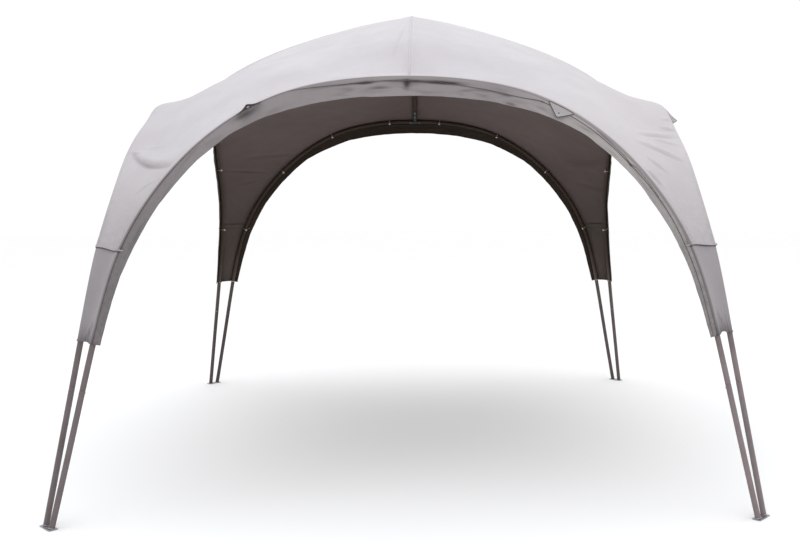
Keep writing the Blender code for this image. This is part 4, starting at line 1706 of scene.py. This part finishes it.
@dataclass
class CentreSeams(SubAssembly):
    """The felled seam over each rib, where two roof panels meet, with two rows of stitches."""

    radius: float = 0.0173
    width: float = 0.0125
    thickness: float = 0.0007
    rows: int = 110
    columns: int = 8
    stitch_share: float = 0.62
    stitch_pitch: float = 0.0065
    reach: tuple = (0.006, 1.352)
    # The band narrows to a point at the crown and at the arch
    taper: tuple = (0.03, 0.02)
    past_end: float = 0.002

    def build(self) -> list:
        """Build the four seams.

        Returns:
            The pieces.
        """
        reaches = np.linspace(*self.reach, self.rows)
        sections = self.lines.rib_sections(reaches)
        left = self.reach[1] + self.past_end - reaches
        narrow = smooth_step(reaches, 0, self.taper[0]) * smooth_step(left, 0, self.taper[1])
        angle = 0.5 * self.width / self.radius * narrow[:, None] * np.linspace(-1, 1, self.columns)
        base = sections.rim(angle, self.radius)
        rows = []
        for side in (-self.stitch_share, self.stitch_share):
            line = sections.rim(side * angle[:, -1:], self.radius + 0.5 * self.thickness)[:, 0]
            rows.append(stitch_skin(line, unit(line - sections.centre), self.stitch_pitch))
        skin = join_skins([Sheet(base, self.thickness).shell(), *rows], (0, 1, 1))
        return self.all_round("centre_seam", skin, ("roof", "thread"), "roof_cloth")


class TabPose(Enum):
    """How far a tab is lifted from hanging straight, in degrees."""

    HANGS = 8
    STANDS_OFF = 24
    STICKS_OUT = 47
    FLIPPED = 85


@dataclass
class ValanceTabs(SubAssembly):
    """The small triangular tabs sewn on at the seam, each bound and with an eyelet."""

    half_widths: tuple = (0.8, 0.774)
    half_length: float = 0.0735
    drop: float = 0.065
    lean: float = -0.006
    eyelet_drop: float = 0.037
    eyelet_hole: float = 0.0048
    eyelet_ring: float = 0.0072
    # Sections of the binding and of the eyelet's rim, across and outward
    binding: tuple = (0.0042, 0.003)
    eyelet: tuple = (0.0052, 0.0034)
    thickness: float = 0.0016
    stand: float = 0.0012
    curl: float = 14.0
    side_share: float = 0.97
    rows: int = 10
    outline_points: int = 60
    eyelet_points: int = 24
    poses: tuple = (
        (TabPose.FLIPPED, TabPose.HANGS),
        (TabPose.STICKS_OUT, TabPose.STANDS_OFF),
        (TabPose.HANGS, TabPose.STANDS_OFF),
        (TabPose.STANDS_OFF, TabPose.HANGS),
    )

    def flat_shapes(self) -> tuple:
        """Return the tab on the flat, as points along the arch and down from it.

        Its outline is a triangle with its corners rounded by averaging along it.

        Returns:
            The grid from eyelet hole to outline, the outline, and the eyelet's rim.
        """
        left, right, tip = (-self.half_length, 0), (self.half_length, 0), (self.lean, self.drop)
        corners = np.array((left, right, tip, left))
        run = running_length(corners[:, None], 0)[:, 0]
        at = np.linspace(0, run[-1], self.outline_points, endpoint=False)
        edge = np.stack([np.interp(at, run, corners[:, axis]) for axis in (0, 1)], axis=1)
        for _ in range(2):
            edge = 0.25 * np.roll(edge, 1, axis=0) + 0.5 * edge + 0.25 * np.roll(edge, -1, axis=0)
        centre = np.array((self.lean * self.eyelet_drop / self.drop, self.eyelet_drop))
        share = np.linspace(0, 1, self.rows)[:, None, None]
        grid = (centre + self.eyelet_hole * unit(edge - centre)) * (1 - share) + edge * share
        angle = round_angles(self.eyelet_points)
        ring = centre + self.eyelet_ring * np.stack([np.cos(angle), np.sin(angle)], axis=1)
        return np.concatenate([grid, grid[:, :1]], axis=1), edge, ring

    def place(self, flat: Array, side: int, lift: float) -> tuple:
        """Lay flat points on the front arch.

        A point b below the seam lies at b along a direction that is turned by the lift
        from hanging to standing out, and that curls with b.

        Args:
            flat: points along the arch and down from the seam.
            side: -1 for the left tab and 1 for the right tab.
            lift: angle from hanging, in radians.

        Returns:
            Points in the row frame and the tab's outward directions there.
        """
        middle = self.lines.at_half_width(self.half_widths[side > 0])
        middle = middle if side < 0 else self.lines.other_half(middle)
        along, down = flat.reshape(-1, 2).T
        lengths = middle - side * along
        sections = self.lines.arch_sections(lengths)
        seam = self.rule.seam_angle(lengths)
        radius = self.rule.outer(lengths) + self.stand
        turn = (lift + math.radians(self.curl) * (down / self.drop) ** 2)[:, None]
        hang = sections.seamward * np.sin(turn) - sections.away * np.cos(turn)
        over = sections.away * np.sin(turn) + sections.seamward * np.cos(turn)
        base = (sections.centre + sections.away * (radius * np.cos(np.minimum(seam, SQUARE)))[:, None]
            + sections.seamward * (radius * np.maximum(np.sin(seam), self.side_share))[:, None])
        shape = (*flat.shape[:-1], 3)
        return (base + hang * down[:, None]).reshape(shape), over.reshape(shape)

    def build(self) -> list:
        """Build the eight tabs.

        Returns:
            The pieces.
        """
        shapes = self.flat_shapes()
        pieces = []
        for turns, arch in enumerate(ARCHES):
            for side, label, pose in zip((-1, 1), ("left", "right"), self.poses[turns]):
                made = []
                for shape in shapes:
                    points, over = self.place(shape, side, math.radians(pose.value))
                    made.append((self.relief.stand_off(quarter_turn(points, turns)),
                        quarter_turn(over, turns)))
                # Painted light: a tab that sticks out gets the pale tab finish on its back as well; the others
                # get the dark valance back with its painted shade
                back = "tab" if pose is TabPose.STICKS_OUT else "valance_back"
                sheet = Sheet(made[0][0], self.thickness, flip=side < 0, wrap=True)
                piece = make_piece(f"{arch}_tab_{label}", sheet.shell(), self.finishes("tab", back),
                    f"{arch}_valance_tab_{label}")
                trims = [loop_skin(*made[1], *self.binding), loop_skin(*made[2], *self.eyelet)]
                pieces.append(make_piece(f"{arch}_tab_{label}_trim", join_skins(trims, (0, 1)),
                    self.finishes("tape", "zinc")))
                pieces.append(piece)
        return pieces


@dataclass
class Ties(SubAssembly):
    """Elastic cords with a ball, which tie the cloth to the arch tubes from inside."""

    half_widths: tuple = (0.2, 0.67, 1.09, 1.42)
    cord: float = 0.0017
    ball: float = 0.0078
    ball_stretch: float = 1.15
    ball_sides: int = 14
    angles: tuple = (-8, -232)
    ball_angle: float = math.radians(-118.0)
    bulge: float = 0.004
    points: int = 20

    def one(self, length: float) -> tuple:
        """Return the cord and the ball of one tie on the front arch.

        The cord goes round the tube's inner side at a steady distance, and the ball
        sits on it, towards the opening.

        Args:
            length: chord length along the arch.

        Returns:
            The two skins.
        """
        sections, tube = self.lines.arch_sections(length), self.lines.tube_radius
        bulge = self.bulge * np.sin(np.linspace(0, math.pi, self.points))
        cord = hoop_skin(sections, np.linspace(*np.radians(self.angles), self.points),
            tube + 0.8 * self.cord, self.cord, bulge)
        seat = tube + 1.6 * self.cord + 0.9 * self.ball
        place = sections.rim(np.array([[self.ball_angle]]), seat)[0, 0] + sections.along[0] * self.bulge
        bend = np.linspace(-SQUARE, SQUARE, 9)
        profile = self.ball * np.stack([np.cos(bend), self.ball_stretch * np.sin(bend)], axis=1)
        profile[[0, -1], 0] = 0
        return cord, spun_skin(profile, self.ball_sides).laid(place, unit(place - sections.centre[0]))

    def build(self) -> list:
        """Build each arch's eight ties as one piece.

        Returns:
            The pieces.
        """
        left = [self.lines.at_half_width(width) for width in self.half_widths]
        ties = [self.one(length) for length in left + [self.lines.other_half(length) for length in left]]
        cords, balls = (join_skins(list(skins)) for skins in zip(*ties))
        skin = join_skins([cords, balls], (0, 1))
        return self.all_round("arch_ties", skin, ("elastic", "ball"), "joint_plastic")


@dataclass
class Fittings(SubAssembly):
    """Collars, hub, sockets, snap buttons, elastic loops and weld beads on the tubes."""

    collar_half: float = 0.048
    collar_wall: float = 0.0036
    collar_thick_at: float = math.radians(-135.0)
    collar_rivets: tuple = (-0.034, 0.034)
    socket_reach: tuple = (1.285, 1.35)
    socket_wall: float = 0.004
    socket_rivets: tuple = (1.298, 1.326)
    wall_least: float = 0.0001
    wall_sink: float = 0.0006
    collar_sides: int = 28
    lip: float = 0.0018
    # How far an end's three rings have risen to the full wall, and how far along the lip they are
    lip_swell: tuple = (0, 0.55, 0.9)
    lip_run: tuple = (0, 0.15, 0.5)
    rivet_size: tuple = (0.0036, 0.0018)
    hub_radius: float = 0.036
    hub_drop: float = 0.01
    hub_profile: tuple = (
        (0, -0.021), (0.0045, -0.0208), (0.0052, -0.0195), (0.0054, -0.0165), (0.0135, -0.016),
        (0.015, -0.0148), (0.0155, -0.012), (0.032, -0.0108), (0.035, -0.0096), (0.036, -0.007),
        (0.036, 0.008), (0.035, 0.0104), (0.0325, 0.0118), (0.018, 0.0121), (0, 0.0121),
    )
    button_drop: float = 0.012
    button_size: tuple = (0.004, 0.0032)
    button_way: tuple = (1, 0.25, 0)
    button_sink: float = 0.0003
    loop_rise: float = 0.006
    loop_cord: float = 0.003
    loop_angles: tuple = (-28, -170)
    bead_height: float = 0.0058
    bead_off: float = 0.0008
    bead_section: tuple = (0.005, 0.0056)

    def collar(self, sections: TubeSections, wall: float, thick_at: float) -> Skin:
        """Return a moulded collar round a tube, thin on the cloth's side.

        Its radius is the tube's plus wall * ((1 + cos(angle - thick_at)) / 2)^2, and it
        closes at both ends over a rounded lip.

        Args:
            sections: sections of the tube; the first and last three make the lips.
            wall: the collar's greatest wall.
            thick_at: the angle where it is thickest.

        Returns:
            The skin.
        """
        angle = round_angles(self.collar_sides)
        swell = np.ones(len(sections.centre))
        swell[:3], swell[-3:] = self.lip_swell, self.lip_swell[::-1]
        full = self.wall_least + wall * (0.5 + 0.5 * np.cos(angle - thick_at)) ** 2
        radius = self.lines.tube_radius - self.wall_sink + (self.wall_sink + full) * swell[:, None]
        radius[[0, -1]] = 0
        points = sections.rim(np.broadcast_to(angle, radius.shape), radius)
        return ring_skin(points, angle * radius.max(), running_length(sections.centre[:, None], 0))

    def lipped(self, start: float, end: float, count: int) -> Array:
        """Return places from start to end with extra ones at the lips."""
        lips, inner = self.lip * np.array(self.lip_run), np.linspace(start + self.lip, end - self.lip, count)
        return np.concatenate([start + lips, inner, (end - lips)[::-1]])

    def dome(self, place: Array, axis: Array, radius: float, height: float) -> Skin:
        """Return a low domed head: radius * cos by height * sin, closed below.

        Args:
            place: the middle of its foot.
            axis: the way it faces.
            radius: its radius.
            height: its height.

        Returns:
            The skin.
        """
        bend = np.linspace(0, SQUARE, 6)
        dome = np.stack([radius * np.cos(bend), height * np.sin(bend)], axis=1)
        dome[-1, 0] = 0
        return spun_skin(np.concatenate([[(0, -height), (radius, -height)], dome]), 16).laid(place, axis)

    def rib_fitting(self) -> Skin:
        """Return the collar over the front arch's middle, the rib's socket and their four rivets.

        Returns:
            The skin; the rivets pick the second finish.
        """
        lines, half = self.lines, self.collar_half
        arch = lines.arch_sections(self.lipped(lines.middle - half, lines.middle + half, 14))
        rib = lines.rib_sections(self.lipped(*self.socket_reach, 12))
        collars = [self.collar(arch, self.collar_wall, self.collar_thick_at),
            self.collar(rib, self.socket_wall, math.pi)]
        rivets = []
        on_arch = lines.arch_sections(lines.middle + np.array(self.collar_rivets))
        on_rib = lines.rib_sections(np.array(self.socket_rivets))
        for seat, angle, wall in ((on_arch, self.collar_thick_at, self.collar_wall),
                (on_rib, math.pi, self.socket_wall)):
            heads = seat.rim(np.full((2, 1), angle), lines.tube_radius + wall + 2 * self.wall_least)[:, 0]
            ways = unit(heads - seat.centre)
            rivets += [self.dome(head, way, *self.rivet_size) for head, way in zip(heads, ways)]
        return join_skins(collars + rivets, (0, 0, 1, 1, 1, 1))

    def hub(self) -> Skin:
        """Return the crown hub: a domed disc with a rim and a boss with a screw below it."""
        height = self.lines.rib.at(self.lines.on_rib(np.array([self.hub_radius])))[0, 2] - self.hub_drop
        return spun_skin(np.array(self.hub_profile) + (0, height), 40)

    def leg_trims(self) -> list:
        """Return what goes on each front left leg tube, on the tube and mirrored on the other.

        Returns:
            Rows of name, skin, finish and slot: the elastic loop that holds the sleeve's
            foot, the weld bead on the plate, and the snap button, which faces inwards.
        """
        lines, tube = self.lines, self.lines.tube_radius
        loop = hoop_skin(lines.arch_sections(lines.sleeve_end + self.loop_rise),
            np.linspace(*np.radians(self.loop_angles), 22), tube + 0.9 * self.loop_cord, self.loop_cord)
        foot = lines.arch_sections(lines.at_height(self.bead_height))
        round_foot = foot.rim(round_angles(28)[None], tube + self.bead_off)[0]
        bead = loop_skin(round_foot, unit(round_foot - foot.centre), *self.bead_section)
        snap = lines.arch_sections(lines.at_height(lines.snap_height - self.button_drop))
        way = np.array(self.button_way)
        out = unit(way - snap.along[0] * (way @ snap.along[0]))
        button = self.dome(snap.centre[0] + out * (tube - self.button_sink), out, *self.button_size)
        return [(name, join_skins([skin, skin.mirrored()]), finish, slot) for name, skin, finish, slot in (
            ("sleeve_elastic", loop, "elastic", "sleeve_cloth"),
            ("foot_weld", bead, "zinc", "foot_plate_steel"),
            ("snap_buttons", button, "zinc", "foot_plate_steel"))]

    def build(self) -> list:
        """Build the fittings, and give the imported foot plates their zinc.

        Returns:
            The pieces.
        """
        pieces = self.all_round("rib_fitting", self.rib_fitting(), ("plastic", "zinc"), "joint_plastic",
            "rib_socket", 50)
        pieces.append(make_piece("crown_hub_disc", self.hub(), self.finishes("plastic"),
            "crown_hub", sharp=40))
        for name, skin, finish, slot in self.leg_trims():
            for turns, corner in enumerate(CORNERS):
                turned = skin.turned(turns)
                if finish == "elastic":
                    turned = replace(turned, vertices=self.relief.stand_off(turned.vertices))
                pieces.append(make_piece(f"{corner}_{name}", turned, self.finishes(finish)))
        for corner in CORNERS:
            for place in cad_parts[f"{corner}_foot_plate"].material_slots:
                place.material = self.looks["zinc"]
        return pieces


@dataclass
class HemCurls(SubAssembly):
    """The free end of the roof's hem, which curls out beyond the seam on each leg."""

    rise: float = 0.007
    radius: float = 0.0046
    thinning: float = 0.35
    angles: tuple = (-20, 40)
    lift: float = 0.004
    drift: float = 0.006
    points: int = 14
    sides: int = 10

    def build(self) -> list:
        """Build the eight curls, two at each corner.

        Returns:
            The pieces.
        """
        length = self.lines.hem + self.rise
        sections = self.lines.arch_sections(length)
        share = np.linspace(0, 1, self.points)
        skins = []
        for place in (length, self.lines.other_half(length)):
            angle = self.rule.seam_angle(place)[0] + np.linspace(*np.radians(self.angles), self.points)
            radius = self.rule.outer(place) + 0.5 * self.radius + self.lift * share ** 2
            skins.append(hoop_skin(sections, angle, radius, self.radius * (1 - self.thinning * share),
                self.drift * share ** 2, self.sides))
        both = join_skins([skins[0], skins[1].mirrored()])
        pieces = []
        for turns, corner in enumerate(CORNERS):
            skin = replace(both, vertices=self.relief.stand_off(quarter_turn(both.vertices, turns)))
            pieces.append(make_piece(f"{corner}_hem_ends", skin, self.finishes("tab")))
        return pieces


@dataclass
class Studio:
    """Pale floor, soft light from above and the photograph's camera."""

    camera_place: tuple = (0.077, -6.157, 1.592)
    # Yaw, pitch and roll in degrees
    angles: tuple = (2.281, -4.74, -0.032)
    lens_pixels: float = 917.7
    centre_pixels: tuple = (461.5, 274.2)
    frame_pixels: tuple = (800, 547)
    sensor: float = 36.0
    floor_radius: float = 40.0
    floor_tone: str = "#FCFCFC"
    world_tone: str = "#FFFFFF"
    world_strength: float = 1.02
    # Name, place, aim, size, power in watts and tone
    lights: tuple = (
        ("overhead_light", (-0.5, -1.2, 6.5), (0, 0, 0), 7, 175, "#F0F6FF"),
        ("side_light", (6.5, -3.8, 1.7), (0.5, -0.5, 1.2), 3.5, 26, "#FFFFFF"),
    )

    def build(self) -> None:
        """Add the camera, the floor, the lights and the world, seen with plain tones."""
        bpy.context.scene.view_settings.view_transform = "Standard"
        self.add_camera()
        self.add_floor()
        for light in self.lights:
            self.add_light(*light)
        world = bpy.context.scene.world or bpy.data.worlds.new("studio")
        bpy.context.scene.world = world
        world.use_nodes = True
        feed(world.node_tree.nodes["Background"], {"Color": self.world_tone, "Strength": self.world_strength})

    def put(self, name: str, data: bpy.types.ID, place: tuple, axes: list) -> bpy.types.Object:
        """Add an object to the scene.

        Args:
            name: its name.
            data: its camera or light.
            place: where it stands.
            axes: its right, up and backward directions.

        Returns:
            The object.
        """
        made = bpy.data.objects.new(name, data)
        bpy.context.scene.collection.objects.link(made)
        turn = Matrix(np.stack(axes, axis=1).tolist()).to_quaternion()
        made.matrix_world = Matrix.LocRotScale(place, turn, None)
        return made

    def add_camera(self) -> None:
        """Aim the camera as the fit of the photograph gives it."""
        c, s = np.cos(np.radians(self.angles)), np.sin(np.radians(self.angles))
        forward = np.array((s[0] * c[1], c[0] * c[1], s[1]))
        right = np.array((c[0], -s[0], 0))
        up = np.cross(right, forward)
        right, up = c[2] * right + s[2] * up, c[2] * up - s[2] * right
        width, height = self.frame_pixels
        data = bpy.data.cameras.new("camera")
        data.sensor_width = self.sensor
        data.lens = self.lens_pixels / width * self.sensor
        data.shift_x = (width / 2 - self.centre_pixels[0]) / width
        data.shift_y = (self.centre_pixels[1] - height / 2) / width
        bpy.context.scene.camera = self.put("camera", data, self.camera_place, [right, up, -forward])

    def add_floor(self) -> None:
        """Lay a wide pale disc just under the feet."""
        reach = np.concatenate([[0], np.geomspace(0.5, self.floor_radius, 24)])
        skin = spun_skin(np.stack([reach, np.zeros_like(reach)], axis=1), 72)
        mesh = bpy.data.meshes.new("floor")
        mesh.from_pydata(skin.vertices.tolist(), [], skin.quads[:, ::-1].tolist())
        weld_points(mesh)
        material, _, shader = start_material("pale_studio_floor")
        feed(shader, {"Base Color": self.floor_tone, "Roughness": 0.9, "Specular IOR Level": 0.1})
        mesh.materials.append(material)
        floor = bpy.data.objects.new("floor", mesh)
        bpy.context.scene.collection.objects.link(floor)

    def add_light(self, name: str, place: tuple, aim: tuple, size: float, power: float, tone: str) -> None:
        """Add a square soft light.

        Args:
            name: its name.
            place: where it hangs.
            aim: the point it faces.
            size: its side in metres.
            power: its power in watts.
            tone: its colour.
        """
        data = bpy.data.lights.new(name, "AREA")
        data.shape, data.size, data.energy, data.color = "SQUARE", size, power, linear(tone)[:3]
        back = unit(np.array(place) - np.array(aim))
        side = unit(np.cross(UPWARD, back))
        self.put(name, data, place, [side, np.cross(back, side), back])


def main() -> None:
    """Build the gazebo piece by piece."""
    logging.basicConfig(level=logging.INFO, format="%(name)s: %(message)s")
    rule, relief = ClothRule(FrameLines()), Relief()
    looks = {name: finish.material() for name, finish in FINISHES.items()}
    Studio().build()
    total = 0
    for assembly in (TubeFrame, Fittings, RoofCanopy, LegSleeves, Valances, SeamTapesAndShade, CentreSeams,
            ValanceTabs, Ties, HemCurls):
        for piece in assembly(rule, relief, looks).build():
            count = sum(len(face.vertices) - 2 for face in piece.data.polygons)
            total += count
            LOG.info("%s: %d triangles", piece.name, count)
    LOG.info("all pieces: %d triangles", total)


if __name__ == "__main__":
    main()
